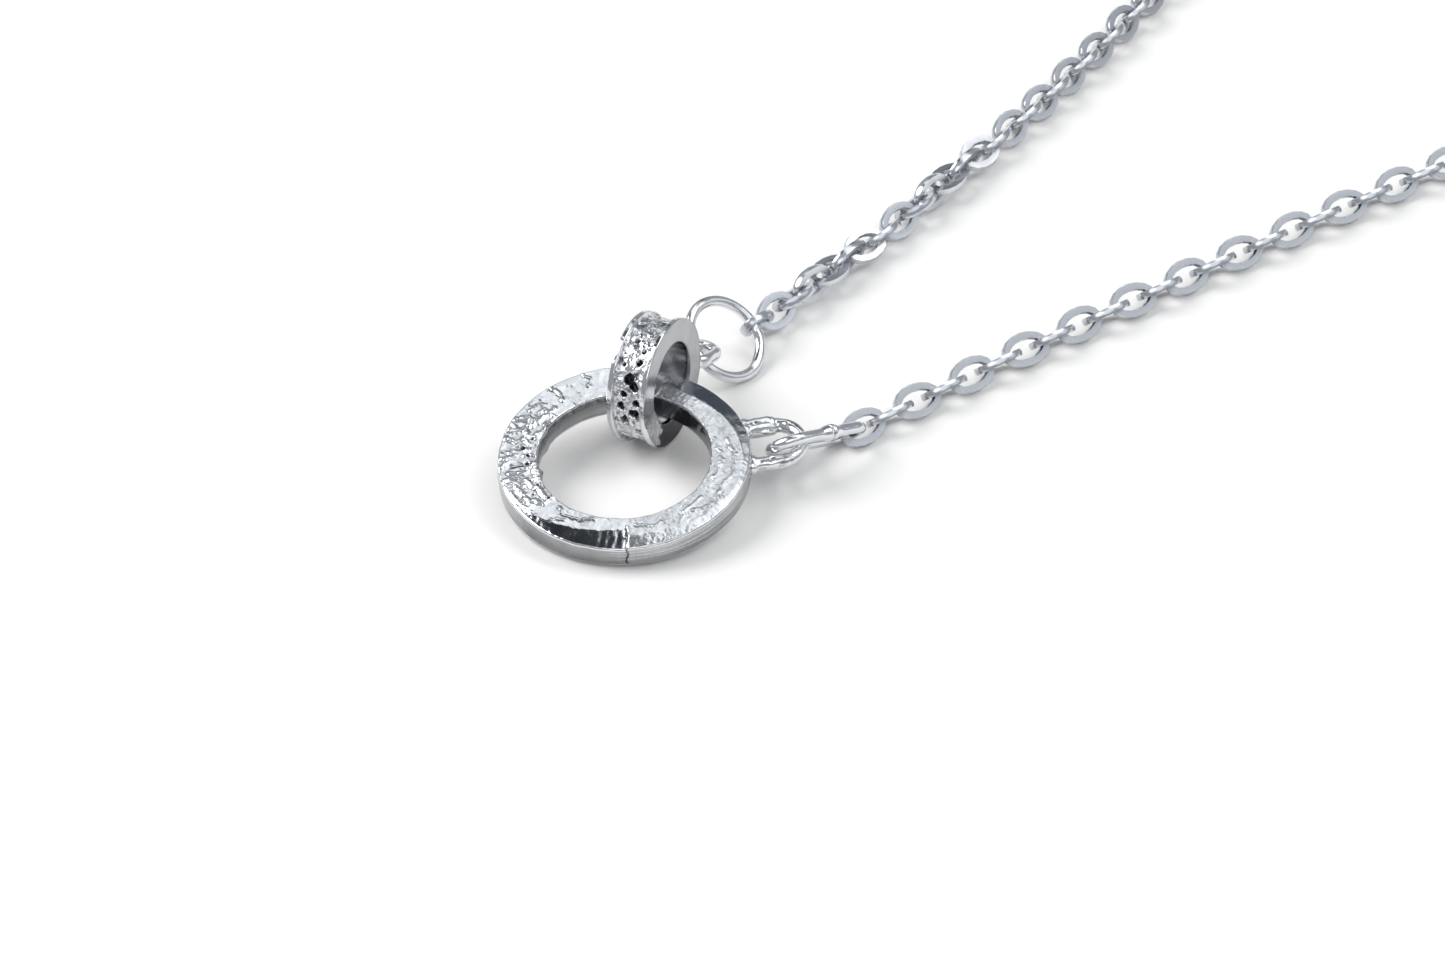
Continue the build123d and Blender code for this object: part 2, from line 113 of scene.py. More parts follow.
# Veins of the relief, each with its height, its half width and the points that it runs
# through: degrees around, share of the width
VEINS = [
    (0.13, 0.10, [(-27, 0.92), (-31, 0.61)]),
    (0.13, 0.10, [(-19, 0.90), (-23, 0.50), (-18, 0.35)]),
    (0.14, 0.10, [(-14, 0.89), (-13, 0.64), (-15, 0.44), (-11, 0.26)]),
    (0.15, 0.11, [(-9.5, 0.38), (-8, 0.27), (-3.5, 0.28)]),
    (0.12, 0.09, [(0, 0.87), (-2.4, 0.56), (-6.7, 0.53)]),
    (0.11, 0.10, [(10, 0.74), (11.6, 0.40), (8.6, 0.16)]),
    (0.24, 0.15, [(6, 0.09), (12.7, 0.04), (18.3, 0.08)]),
    (0.14, 0.10, [(18.4, 0.96), (18.2, 0.74), (16.6, 0.42), (21.7, 0.33), (26, 0.24)]),
    (0.12, 0.09, [(19.4, 0.70), (26.9, 0.64)]),
    (0.12, 0.09, [(20.3, 0.48), (24.4, 0.69)]),
    (0.11, 0.09, [(30, 0.62), (36, 0.61), (37, 0.81)]),
    (0.11, 0.09, [(33, 0.51), (38.6, 0.39), (38.3, 0.07)]),
    (0.09, 0.08, [(34, 0.79), (38.7, 0.79)]),
    (0.13, 0.10, [(25, 0.22), (34.5, 0.19), (38.7, 0.12)]),
    (0.11, 0.10, [(-36, 0.75), (-40, 0.71), (-43, 0.59)]),
    (0.12, 0.10, [(-27, 0.53), (-31.5, 0.51), (-31.7, 0.40), (-25, 0.41)]),
    (0.11, 0.10, [(-30, 0.32), (-38, 0.29), (-45, 0.30)]),
    (0.16, 0.12, [(-32, 0.08), (-25, 0.03), (-19, 0.13)]),
    (0.06, 0.08, [(-52, 0.35), (-54, 0.60), (-53, 0.95)]),
    (0.04, 0.07, [(-70, 0.45), (-72, 0.70), (-70, 0.98)]),
    (0.10, 0.08, [(-5, 0.72), (2, 0.74), (5, 0.92)]),
    (0.10, 0.08, [(14, 0.55), (13, 0.80), (15, 0.93)]),
    (0.09, 0.08, [(-22, 0.70), (-24, 0.92)]),
    (0.09, 0.08, [(23, 0.86), (29, 0.90), (32, 0.72)]),
    (0.08, 0.08, [(-36, 0.50), (-41, 0.46), (-39, 0.14)]),
    (0.04, 0.07, [(46, 0.15), (53, 0.34), (64, 0.28), (72, 0.12)]),
    (0.04, 0.07, [(50, 0.62), (56, 0.46)]),
    (0.06, 0.07, [(-169, 0.43), (-183, 0.61), (-196, 0.67), (-208, 0.53), (-217, 0.74), (-230, 0.49)]),
    (0.05, 0.06, [(-175, 0.20), (-190, 0.30), (-204, 0.25)]),
    (0.05, 0.06, [(120, 0.60), (128, 0.35), (141, 0.30)]),
    (0.05, 0.06, [(97, 0.30), (105, 0.42), (116, 0.38)]),
]

# Sunk lines and pits of the relief
CRACKS = [
    (0.08, 0.07, [(91.4, 0.36), (91.8, 0.62), (91.2, 1.02)]),
    (0.09, 0.07, [(5.7, 0.66), (5.2, 0.34)]),
    (0.03, 0.06, [(150, 0.66), (136, 0.74), (124, 0.70)]),
]
PITS = [(-8.5, 0.38, 0.13), (-3, 0.24, 0.10), (3.9, 0.25, 0.11), (18.7, 0.29, 0.08),
        (36.7, 0.14, 0.09), (23.5, 0.16, 0.09), (29, 0.40, 0.07), (-17, 0.22, 0.08)]

# The band: degrees around it are counted from its top towards the front
BAND_HOLE = 2.5
BAND_RADIUS = 3.97
BAND_HALF = 1.25
CHANNEL_HALF = 0.93
CHANNEL_FLOOR = 3.67

# Pits in its channel: degrees around, share of the channel's half width, half width
CHANNEL_PITS = [
    (18, -0.30, 0.12), (28, 0.46, 0.13), (40, 0.40, 0.16), (44, -0.55, 0.12), (57, -0.08, 0.26),
    (63, 0.40, 0.24), (71, -0.30, 0.18), (79, 0.62, 0.18), (84, -0.44, 0.20), (90, 0.34, 0.24),
    (101, -0.22, 0.26), (112, 0.45, 0.15), (126, 0.18, 0.20), (158, -0.30, 0.24), (181, 0.3, 0.2),
    (205, 0.34, 0.22), (235, -0.4, 0.2), (262, -0.20, 0.24), (293, 0.3, 0.2), (325, 0.24, 0.20),
]

# The stretches of the band's profile
BORE, FACE, RIM, FLOOR, BACK = range(5)

# The eyes' and rings' wires as radii, and the rings' own radii, in millimetres
CIRCLE_EYE_WIRE = 0.45
CIRCLE_EYE_STUB = 0.62
BAND_EYE_WIRE = 0.355
JUMP_RADIUS = 2.53
JUMP_WIRE = 0.345
OVAL_WIRE = 0.36
CLASP_RADIUS = 2.75
CLASP_WIRE = 0.325
CLASP_EYE_RADIUS = 0.95
CLASP_EYE_WIRE = 0.25
KNOB_WIRE = 0.3
CATCH_RADIUS = 1.32786
CATCH_WIRE = 0.2
MELT_GRAIN = 0.08

# Each metal's swirl, grain and how far its painted shade darkens it
METAL_GRAIN = {"cast": (1.6, 0.4, 1.0), "wire": (1.2, 0.12, 0.6), "chain": (0.9, 0.10, 0.5)}

# Soft lights and dark screens round the table: heading, rise, inner and outer angle,
# colour, strength. A later one lies over an earlier one.
LIGHTS = [
    (6, 54, 10, 22, (0.93, 0.97, 1.0), 1.15),
    (-18, 67, 12, 19, (0.93, 0.97, 1.0), 1.5),
    (-8, 35, 6, 12, (0.66, 0.80, 1.0), 0.10),
    (42, 60, 10, 14, (0.70, 0.82, 1.0), 0.03),
    (38, 53, 6, 10, (0.70, 0.82, 1.0), 0.05),
    (30, 73, 7, 11, (0.70, 0.82, 1.0), 0.03),
    (-135, 46, 16, 24, (0.92, 0.96, 1.0), 1.15),
    (-86, 28, 11, 18, (0.90, 0.95, 1.0), 0.90),
    (78, 44, 18, 25, (1.0, 1.0, 1.0), 5.6),
    (-76, 54, 13, 20, (1.0, 1.0, 1.0), 2.8),
    (178, 50, 13, 20, (1.0, 0.99, 0.98), 1.9),
]
ROOM_COLOUR = (0.36, 0.375, 0.40, 1.0)
TABLE_HALF = 1.5
CAMERA_BACK = (0.5474, -0.5668, 0.6157)
CAMERA_TARGET = (4.2325, -93.4796, 0.0054)
CAMERA_AZIMUTH = 134


# Numbers and skins


def unit(vector):
    vector = np.asarray(vector, float)
    return vector / np.linalg.norm(vector)


def axes(along, normal):
    """Three unit axes: along as near as it goes, the one to its left, and the normal."""
    normal = unit(normal)
    along = np.asarray(along, float)
    along = unit(along - normal * (along @ normal))
    return np.array([along, np.cross(normal, along), normal])


def smooth(values, low, high):
    """0 below low, 1 above high and an even S between them."""
    share = np.clip((np.asarray(values, float) - low) / (high - low), 0, 1)
    return share * share * (3 - 2 * share)


def bell(values, middle, width):
    """1 in the middle, falling off evenly to both sides."""
    return np.exp(-(((values - middle) / width) ** 2))


def full_turn(steps):
    return np.linspace(0, 2 * math.pi, steps, endpoint=False)


def round_points(radius, turn, level):
    """Points around an upright axis."""
    return np.stack([radius * np.cos(turn), radius * np.sin(turn), level], -1)


def cloud(points, size, octaves, seed):
    """Soft noise of about -1 to 1 at points, with lumps of that size."""
    place = Vector((seed * 7.31, seed * -3.17, seed * 5.77))
    values = [noise.fractal(Vector(p) / size + place, 0.9, 2.1, octaves) for p in points.reshape(-1, 3)]
    return np.array(values).reshape(points.shape[:-1])


def crust(points, size, octaves, seed):
    """Noise with sharp crests, of about 0 to 1."""
    place = Vector((seed * 4.13, seed * 6.71, seed * -2.39))
    values = [
        noise.ridged_multi_fractal(Vector(p) / size + place, 0.9, 2.1, octaves, 1.0, 1.6)
        for p in points.reshape(-1, 3)
    ]
    return np.array(values).reshape(points.shape[:-1]) / 2


def nearness(x, y, line, width):
    """1 on a line of points in a plane and 0 beyond a few widths from it."""
    best = np.full(x.shape, np.inf)
    for (x0, y0), (x1, y1) in zip(line, line[1:]):
        run_x, run_y = x1 - x0, y1 - y0
        share = ((x - x0) * run_x + (y - y0) * run_y) / (run_x**2 + run_y**2)
        share = np.clip(share, 0, 1)
        best = np.minimum(best, np.hypot(x - x0 - share * run_x, y - y0 - share * run_y))
    return bell(best, 0, width)


def closed_faces(rows, columns):
    """The faces of a skin whose rows and columns both run round."""
    i, j = np.meshgrid(np.arange(rows), np.arange(columns), indexing="ij")
    k, m = (i + 1) % rows, (j + 1) % columns
    grid = np.stack([i * columns + j, k * columns + j, k * columns + m, i * columns + m], -1)
    return grid.reshape(-1, 4).tolist()


def open_faces(rows, columns):
    """The faces of a tube with two flat ends."""
    if rows < 4:
        raise ValueError("a tube needs four rows")
    faces = [f for f in closed_faces(rows, columns) if max(f) - min(f) < (rows - 2) * columns]
    first = list(range(columns))[::-1]
    last = [(rows - 1) * columns + c for c in range(columns)]
    return faces + [first, last]


class Skin:
    """A closed skin in millimetres, with how dark its painted shade is and how rough it is at each point."""

    def __init__(self, points, faces, hollow=0.0, rough=0.0):
        self.points = np.asarray(points, float).reshape(-1, 3)
        self.faces = faces
        self.hollow = np.broadcast_to(np.asarray(hollow, float).ravel(), (len(self.points),)).copy()
        self.rough = np.broadcast_to(np.asarray(rough, float).ravel(), (len(self.points),)).copy()
        if self.volume() < 0:
            self.faces = [face[::-1] for face in self.faces]

    def volume(self):
        total = 0.0
        for count in {len(face) for face in self.faces}:
            corners = self.points[np.array([face for face in self.faces if len(face) == count])]
            for k in range(1, count - 1):
                total += np.einsum("ij,ij->", corners[:, 0], np.cross(corners[:, k], corners[:, k + 1]))
        return total

    def joined(self, *others):
        """This skin and others as one."""
        result = Skin(self.points, self.faces, self.hollow, self.rough)
        for other in others:
            shift = len(result.points)
            result.faces = result.faces + [[v + shift for v in face] for face in other.faces]
            result.points = np.concatenate([result.points, other.points])
            result.hollow = np.concatenate([result.hollow, other.hollow])
            result.rough = np.concatenate([result.rough, other.rough])
        return result


def as_object(name, skin, material):
    """A finished piece from a skin, riding on the part's one body."""
    mesh = bpy.data.meshes.new(name)
    mesh.from_pydata((skin.points * MM).tolist(), [], skin.faces)
    # hollow: painted shade, kept on each point for the material to darken its colour
    for label, values in (("hollow", skin.hollow), ("rough", skin.rough)):
        mesh.attributes.new(label, "FLOAT", "POINT").data.foreach_set("value", values.astype(np.float32))
    mesh.shade_smooth()
    mesh.materials.append(material)
    piece = bpy.data.objects.new(name, mesh)
    bpy.context.scene.collection.objects.link(piece)
    finish_piece(piece)
    return piece


def finish_piece(piece):
    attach(piece, "root" if "root" in frame["bodies"] else next(iter(frame["bodies"])))


def rounded_path(corners, bend, step, closed):
    """Points along a line through corners in a plane, each turned in an arc of radius bend."""
    corners = [np.asarray(c, float) for c in corners]
    count = len(corners)
    inner = range(count) if closed else range(1, count - 1)
    points = [] if closed else [corners[0]]
    for index in inner:
        here, before, after = corners[index], corners[index - 1], corners[(index + 1) % count]
        way_in, way_out = unit(here - before), unit(after - here)
        turn = math.acos(np.clip(way_in @ way_out, -1, 1))
        back = bend * math.tan(turn / 2)
        left = np.array([-way_in[1], way_in[0]]) * np.sign(way_in[0] * way_out[1] - way_in[1] * way_out[0])
        middle = here - way_in * back + left * bend
        for share in np.linspace(0, 1, max(6, int(bend * turn / step))):
            angle = turn * share
            points.append(middle - left * bend * math.cos(angle) + way_in * bend * math.sin(angle))
    if not closed:
        points.append(corners[-1])
    chain = points + points[:1] if closed else points
    even = []
    for a, b in zip(chain, chain[1:]):
        pieces = max(1, int(np.linalg.norm(b - a) / step))
        if np.linalg.norm(b - a) > 1e-6:
            even += [a + (b - a) * k / pieces for k in range(pieces)]
    if not closed:
        even.append(chain[-1])
    return np.array(even)


def tube(path, normal, radius, sides, closed, thickness=1.0, end_round=0.0):
    """A tube along points in one plane with that normal. radius is one number or one a point."""
    path = np.asarray(path, float)
    radius = np.broadcast_to(np.asarray(radius, float), (len(path),)).copy()
    normal = unit(normal)
    if closed:
        along = np.roll(path, -1, 0) - np.roll(path, 1, 0)
    else:
        along = np.gradient(path, axis=0)
        if end_round:
            first, last = unit(along[0]), unit(along[-1])
            steps = end_round * (1 - np.cos(np.linspace(0, math.pi / 2, 6)))[1:]
            head = [path[0] + first * (end_round - s) for s in steps[::-1]]
            tail = [path[-1] - last * (end_round - s) for s in steps]
            inside = (np.linalg.norm(path - path[0], axis=1) > end_round) & (
                np.linalg.norm(path - path[-1], axis=1) > end_round)
            start_r, end_r = radius[0], radius[-1]
            rims = end_round - np.sqrt(np.maximum(end_round**2 - (end_round - steps) ** 2, 0))
            path = np.concatenate([[path[0]], head[1:], path[inside], tail[:-1], [path[-1]]])
            radius = np.concatenate([
                [start_r - end_round], (start_r - rims[::-1])[1:], radius[inside],
                (end_r - rims)[:-1], [end_r - end_round],
            ])
            order = [0]
            for k in range(1, len(path)):
                if np.linalg.norm(path[k] - path[order[-1]]) > 1e-4:
                    order.append(k)
            path, radius = path[order], radius[order]
            along = np.gradient(path, axis=0)
            along[0], along[-1] = first, last
    along /= np.linalg.norm(along, axis=1)[:, None]
    outward = np.cross(along, normal)
    angle = full_turn(sides)
    ring = (
        outward[:, None, :] * np.cos(angle)[None, :, None]
        + normal[None, None, :] * (thickness * np.sin(angle))[None, :, None]
    )
    points = path[:, None, :] + ring * radius[:, None, None]
    faces = closed_faces(len(path), sides) if closed else open_faces(len(path), sides)
    return Skin(points, faces)


def in_plane(points, centre, frame_axes):
    """Points of a plane, or of space, from their places along its axes."""
    points = np.asarray(points, float)
    return np.asarray(centre, float) + points @ np.asarray(frame_axes)[: points.shape[1]]


def ring_path(radius, turn, centre, own):
    """Points round a ring in the plane of its first two axes."""
    return in_plane(np.stack([radius * np.cos(turn), radius * np.sin(turn)], -1), centre, own)


def ball(centre, radii, frame_axes, sides=24):
    """A closed lump with its own three radii."""
    polar = np.linspace(0.12, math.pi - 0.12, sides // 2)
    turn = full_turn(sides)
    grid = np.stack([
        np.cos(polar)[:, None] + 0 * turn[None],
        np.sin(polar)[:, None] * np.cos(turn)[None],
        np.sin(polar)[:, None] * np.sin(turn)[None],
    ], -1)
    points = (grid * np.asarray(radii)) @ np.asarray(frame_axes) + np.asarray(centre)
    return Skin(points, open_faces(len(polar), sides))


def melted(skin, voxel):
    """The skins of one piece run together as soldered metal does, as one even skin."""
    mesh = bpy.data.meshes.new("melt")
    mesh.from_pydata(skin.points.tolist(), [], skin.faces)
    lump = bpy.data.objects.new("melt", mesh)
    bpy.context.scene.collection.objects.link(lump)
    remesh = lump.modifiers.new("Melt", "REMESH")
    remesh.mode = "VOXEL"
    remesh.voxel_size = voxel
    relax = lump.modifiers.new("Relax", "SMOOTH")
    relax.factor = 0.5
    relax.iterations = 5
    evaluated = lump.evaluated_get(bpy.context.evaluated_depsgraph_get())
    result = bpy.data.meshes.new_from_object(evaluated)
    points = np.array([v.co for v in result.vertices], float)
    faces = [list(face.vertices) for face in result.polygons]
    bpy.data.objects.remove(lump)
    bpy.data.meshes.remove(mesh)
    bpy.data.meshes.remove(result)
    if not len(points):
        raise RuntimeError("the soldered piece came out empty")
    return Skin(points, faces)


def outward_normals(skin):
    """A unit normal at each point of a skin."""
    total = np.zeros_like(skin.points)
    for count in {len(face) for face in skin.faces}:
        index = np.array([face for face in skin.faces if len(face) == count])
        corners = skin.points[index]
        normal = np.cross(corners[:, 1] - corners[:, 0], corners[:, 2] - corners[:, 0])
        for k in range(count):
            np.add.at(total, index[:, k], normal)
    length = np.linalg.norm(total, axis=1)
    return total / np.maximum(length, 1e-12)[:, None]


def hammered(skin, depth, size, seed, dent_shade=0.0):
    """A skin with shallow flats and dents all over, and painted shade in the deepest dents."""
    normals = outward_normals(skin)
    lumps = cloud(skin.points, size, 3, seed)
    skin.points = skin.points + normals * (depth * lumps)[:, None]
    skin.hollow = np.maximum(skin.hollow, dent_shade * smooth(-lumps, 0.25, 0.6))
    return skin


# Node trees


class Socket:
    """A socket in a node tree. Expressions on it add Math nodes."""

    def __init__(self, flow, socket):
        self.flow = flow
        self.socket = socket

    def _math(self, operation, first, second):
        return self.flow.add("ShaderNodeMath", {"operation": operation}, {0: first, 1: second})

    def __add__(self, other):
        return self._math("ADD", self, other)

    def __radd__(self, other):
        return self._math("ADD", other, self)

    def __sub__(self, other):
        return self._math("SUBTRACT", self, other)

    def __rsub__(self, other):
        return self._math("SUBTRACT", other, self)

    def __mul__(self, other):
        return self._math("MULTIPLY", self, other)

    def __rmul__(self, other):
        return self._math("MULTIPLY", other, self)

    def __truediv__(self, other):
        return self._math("DIVIDE", self, other)

    def __pow__(self, other):
        return self._math("POWER", self, other)

    def limited(self, low=0.0, high=1.0):
        return self._math("MAXIMUM", self._math("MINIMUM", self, high), low)

    def eased(self, low, high):
        """0 below low and 1 above high, with an even S between."""
        inputs = {"Value": self, "From Min": low, "From Max": high}
        return self.flow.add("ShaderNodeMapRange", {"interpolation_type": "SMOOTHSTEP"}, inputs)


class Flow:
    """A node tree while it is written."""

    def __init__(self, tree):
        self.tree = tree
        tree.nodes.clear()

    def add(self, kind, settings=None, inputs=None, output=0):
        """A new node: its settings first, then its sockets' values or links. Gives one output."""
        node = self.tree.nodes.new(kind)
        for name, value in (settings or {}).items():
            setattr(node, name, value)
        for name, value in (inputs or {}).items():
            if isinstance(value, Socket):
                self.tree.links.new(value.socket, node.inputs[name])
            else:
                node.inputs[name].default_value = value
        return Socket(self, node.outputs[output] if len(node.outputs) else None)

    def mix(self, share, first, second):
        """One colour turning into another."""
        return self.add("ShaderNodeMix", {"data_type": "RGBA"}, {0: share, 6: first, 7: second}, 2)


def metal(name, colour, roughness, swirl, grain, dark):
    """Polished metal: roughness where it is smooth, swirl the size of its soft stains in
    millimetres, grain the depth of its fine bumps, dark how far the painted shade darkens it."""
    material = bpy.data.materials.new(name)
    material.use_nodes = True
    flow = Flow(material.node_tree)
    place = flow.add("ShaderNodeTexCoord", output=3)
    hollow = flow.add("ShaderNodeAttribute", {"attribute_name": "hollow"}, output=2)
    rough = flow.add("ShaderNodeAttribute", {"attribute_name": "rough"}, output=2)
    stains, fine, pores = [
        flow.add("ShaderNodeTexNoise", inputs={"Vector": place, "Scale": scale, "Detail": detail})
        for scale, detail in ((1000 / swirl, 3.0), (9000.0, 3.0), (4200.0, 4.0))
    ]
    stain = stains.eased(0.35, 0.7)
    # The painted shade darkens the colour towards dull; the soft stains and the pores are the metal's own
    shade = (hollow * dark + stain * 0.08 + rough * pores.eased(0.5, 0.72) * 0.22).limited()
    bright = (*colour, 1.0)
    dull = (colour[0] * 0.05, colour[1] * 0.05, colour[2] * 0.055, 1.0)
    tint = flow.mix(shade, bright, dull)
    gloss = (roughness + rough * 0.20 + stain * 0.05 + hollow * 0.12 + fine * 0.03).limited(0.02, 0.9)
    height = fine * 0.25 + pores * (rough * 0.9 + 0.10)
    bump = flow.add("ShaderNodeBump", inputs={"Strength": grain, "Distance": 0.00004, "Height": height})
    surface = flow.add("ShaderNodeBsdfPrincipled", inputs={
        "Base Color": tint, "Metallic": 1.0, "Roughness": gloss, "Normal": bump, "IOR": 1.5,
    })
    flow.add("ShaderNodeOutputMaterial", inputs={"Surface": surface})
    return material


# The cast circle


def shoulder_start(around):
    """Where the shoulder starts at degrees around, as a share of the circle's width."""
    table = np.array(SHOULDER)
    return np.interp((around + 180) % 360 - 180, table[:, 0], table[:, 1])


def on_width(around, across):
    """A point of the circle's plane."""
    turn = np.radians(ROUGH_SIDE + np.asarray(around, float))
    out = HOLE_RADIUS + np.asarray(across, float) * (RIM_RADIUS - HOLE_RADIUS)
    return out * np.cos(turn), out * np.sin(turn)


def plane_line(line):
    """The points of a vein in the circle's plane."""
    return [tuple(float(v) for v in on_width(around, across)) for around, across in line]


def window(around, start, stop, ease):
    """1 between two directions around the circle and 0 beyond them."""
    span = (stop - start) % 360
    away = (np.asarray(around) - start) % 360
    return smooth(away, 0, ease) * (1 - smooth(away, span - ease, span))


def circle_body(sizes):
    """The circle's own metal, its relief raised in the skin itself."""
    rows = sizes.around
    around = np.linspace(-180, 180, rows, endpoint=False)
    share = np.linspace(0, 1, 47)
    share = share - 0.10 * np.sin(2 * math.pi * share) / (2 * math.pi) * 4
    wall = np.linspace(0, 1, 34)[1:]
    inside = np.linspace(0, 1, 17)[1:-1]
    width = RIM_RADIUS - HOLE_RADIUS

    # The top, from the hole's edge out to the rim
    a, c = np.meshgrid(around, share, indexing="ij")
    x, y = on_width(a, c)
    start = shoulder_start(a)
    fall = SHOULDER_SLOPE * width * np.maximum(c - start, 0)
    flat = np.stack([x, y, 0 * x], -1)
    lumps = cloud(flat, 1.5, 2, 3)
    small = cloud(flat, 0.42, 2, 4)
    bent_x = x + 0.13 * small + 0.10 * cloud(flat, 0.8, 1, 6)
    bent_y = y + 0.13 * cloud(flat, 0.42, 2, 7)
    veins = np.zeros(a.shape)
    for height, half, line in VEINS:
        beaded = height * (0.85 + 0.5 * small)
        veins = np.maximum(veins, beaded * nearness(bent_x, bent_y, plane_line(line), 1.35 * half))
    sunk = np.zeros(a.shape)
    for depth, half, line in CRACKS:
        sunk = np.maximum(sunk, depth * nearness(bent_x, bent_y, plane_line(line), half))
    for pit_around, pit_across, half in PITS:
        px, py = on_width(pit_around, pit_across)
        sunk = np.maximum(sunk, 0.22 * np.exp(-(((x - px) ** 2 + (y - py) ** 2) / half**2) ** 1.5))
    wrinkles = crust(flat, 0.62, 3, 5)
    scratches = crust(flat, 0.36, 3, 9)
    ragged = window(a, -50, 44, 9)
    scratchy = window(a, 91.5, 250, 3)
    quiet = window(a, -105, -40, 12)
    polished = smooth(c - start, 0.0, 0.03) * (1 - window(a, 91.5, 178, 2))
    polished = np.maximum(polished, smooth(c - start, 0.02, 0.08) * 0.4)
    texture = ragged * 0.042 * (wrinkles - 0.5) + scratchy * 0.028 * (scratches - 0.45)
    texture += quiet * 0.010 * (wrinkles - 0.5)
    texture += (1 - ragged) * (1 - scratchy) * 0.012 * (scratches - 0.5)
    streaks = np.sin(np.radians(a) * 95 + 5 * lumps) * (0.5 + 0.5 * small) * polished * window(a, 30, 96, 12)
    relief = (veins * sizes.relief + texture) * (1 - 0.75 * polished) + 0.007 * streaks
    relief += 0.035 * lumps * (1 - 0.3 * polished) + (0.010 + 0.010 * ragged) * small * (1 - polished) - sunk
    top = HALF_HEIGHT - fall + relief
    edge = 0.11
    for away in (c * width, (1 - c) * width):
        near = np.clip(1 - away / edge, 0, 1)
        top -= edge * (1 - np.sqrt(1 - near**2))
    rim_wave = 0.045 * cloud(round_points(3, np.radians(around), 0 * around), 1.1, 3, 12)
    hole_wave = 0.05 * cloud(round_points(3, np.radians(around), 9 + 0 * around), 0.8, 3, 13)
    hole_wave -= 0.16 * bell(around, 12.5, 5) + 0.10 * bell(around, -25, 4)
    out = HOLE_RADIUS + c * width + rim_wave[:, None] * c**3 + hole_wave[:, None] * (1 - c) ** 3

    # The outer wall, down from the rim, with its casting lines
    low = -HALF_HEIGHT + 0.4
    rim_top = top[:, -1:]
    wall_z = rim_top + (low - rim_top) * wall[None]
    wall_a = np.repeat(around[:, None], len(wall), 1)
    wall_r = RIM_RADIUS + rim_wave[:, None] + 0.035 * np.sin(math.pi * wall[None])
    turn = np.radians(ROUGH_SIDE + wall_a)
    spots = round_points(RIM_RADIUS, turn, wall_z)
    wall_r += 0.022 * cloud(spots, 0.9, 3, 21)
    lined = window(wall_a, 78, 205, 14)
    beads = 0.55 + 0.45 * np.sin(np.radians(wall_a) * 190) * np.sin(np.radians(wall_a) * 67)
    beading = np.zeros(wall_a.shape)
    for level, height in ((0.42, 0.034), (0.15, 0.042), (-0.16, 0.030)):
        wander = level + 0.05 * np.sin(np.radians(wall_a) * 5 + level * 9)
        beading += lined * height * beads * bell(wall_z, wander, 0.045)
    wall_r += 1.4 * beading
    split = bell(wall_a - 91.3, 0.5 * np.sin(wall_z * 6), 0.42)
    wall_r -= 0.06 * split
    folds = crust(spots * (1, 1, 0.35), 0.5, 2, 23)
    wall_r += 0.03 * window(wall_a, 20, 120, 20) * (folds - 0.5)

    # The foot and the lower half
    foot = np.array([0.05, 0.14, 0.26, 0.40])
    foot_z = -HALF_HEIGHT + np.array([0.26, 0.14, 0.05, 0.0])
    under_r = np.linspace(RIM_RADIUS - 0.4, HOLE_RADIUS + 0.4, 8)[1:-1]
    plain_r = np.concatenate([RIM_RADIUS - foot, under_r, HOLE_RADIUS + foot[::-1]])
    plain_z = np.concatenate([foot_z, np.full(len(under_r), -HALF_HEIGHT), foot_z[::-1]])
    plain_a = np.repeat(around[:, None], len(plain_r), 1)
    plain_r = np.repeat(plain_r[None], rows, 0)
    plain_r = (
        plain_r + rim_wave[:, None] * smooth(plain_r, 6.5, 7.4)
        + hole_wave[:, None] * smooth(-plain_r, -6.2, -5.3)
    )
    plain_z = np.repeat(plain_z[None], rows, 0)

    # The hole's wall, up to its edge, with long lines on the side that faces the camera
    edge_top = top[:, :1]
    in_z = low + (edge_top - low) * inside[None]
    in_a = np.repeat(around[:, None], in_z.shape[1], 1)
    spots = round_points(HOLE_RADIUS, np.radians(ROUGH_SIDE + in_a), in_z)
    in_r = HOLE_RADIUS + hole_wave[:, None] * smooth(in_z, -0.6, 0.9)
    in_r += 0.02 * cloud(spots, 0.8, 3, 31)
    lined = window(in_a, -112, 8, 10)
    for level, height, half in ((0.50, 0.05, 0.06), (0.22, 0.05, 0.05), (0.02, 0.035, 0.04)):
        wander = level + 0.05 * np.sin(np.radians(in_a) * 4 + level * 7)
        in_r -= lined * height * bell(in_z, wander, half)
    folds = crust(spots * (1, 1, 0.5), 0.5, 3, 33)
    in_r -= 0.06 * smooth(in_z, 0.1, 0.6) * (folds - 0.5)
    in_r -= 0.10 * bell(in_a, 12.5, 4.5) * smooth(in_z, 0.0, 0.8)
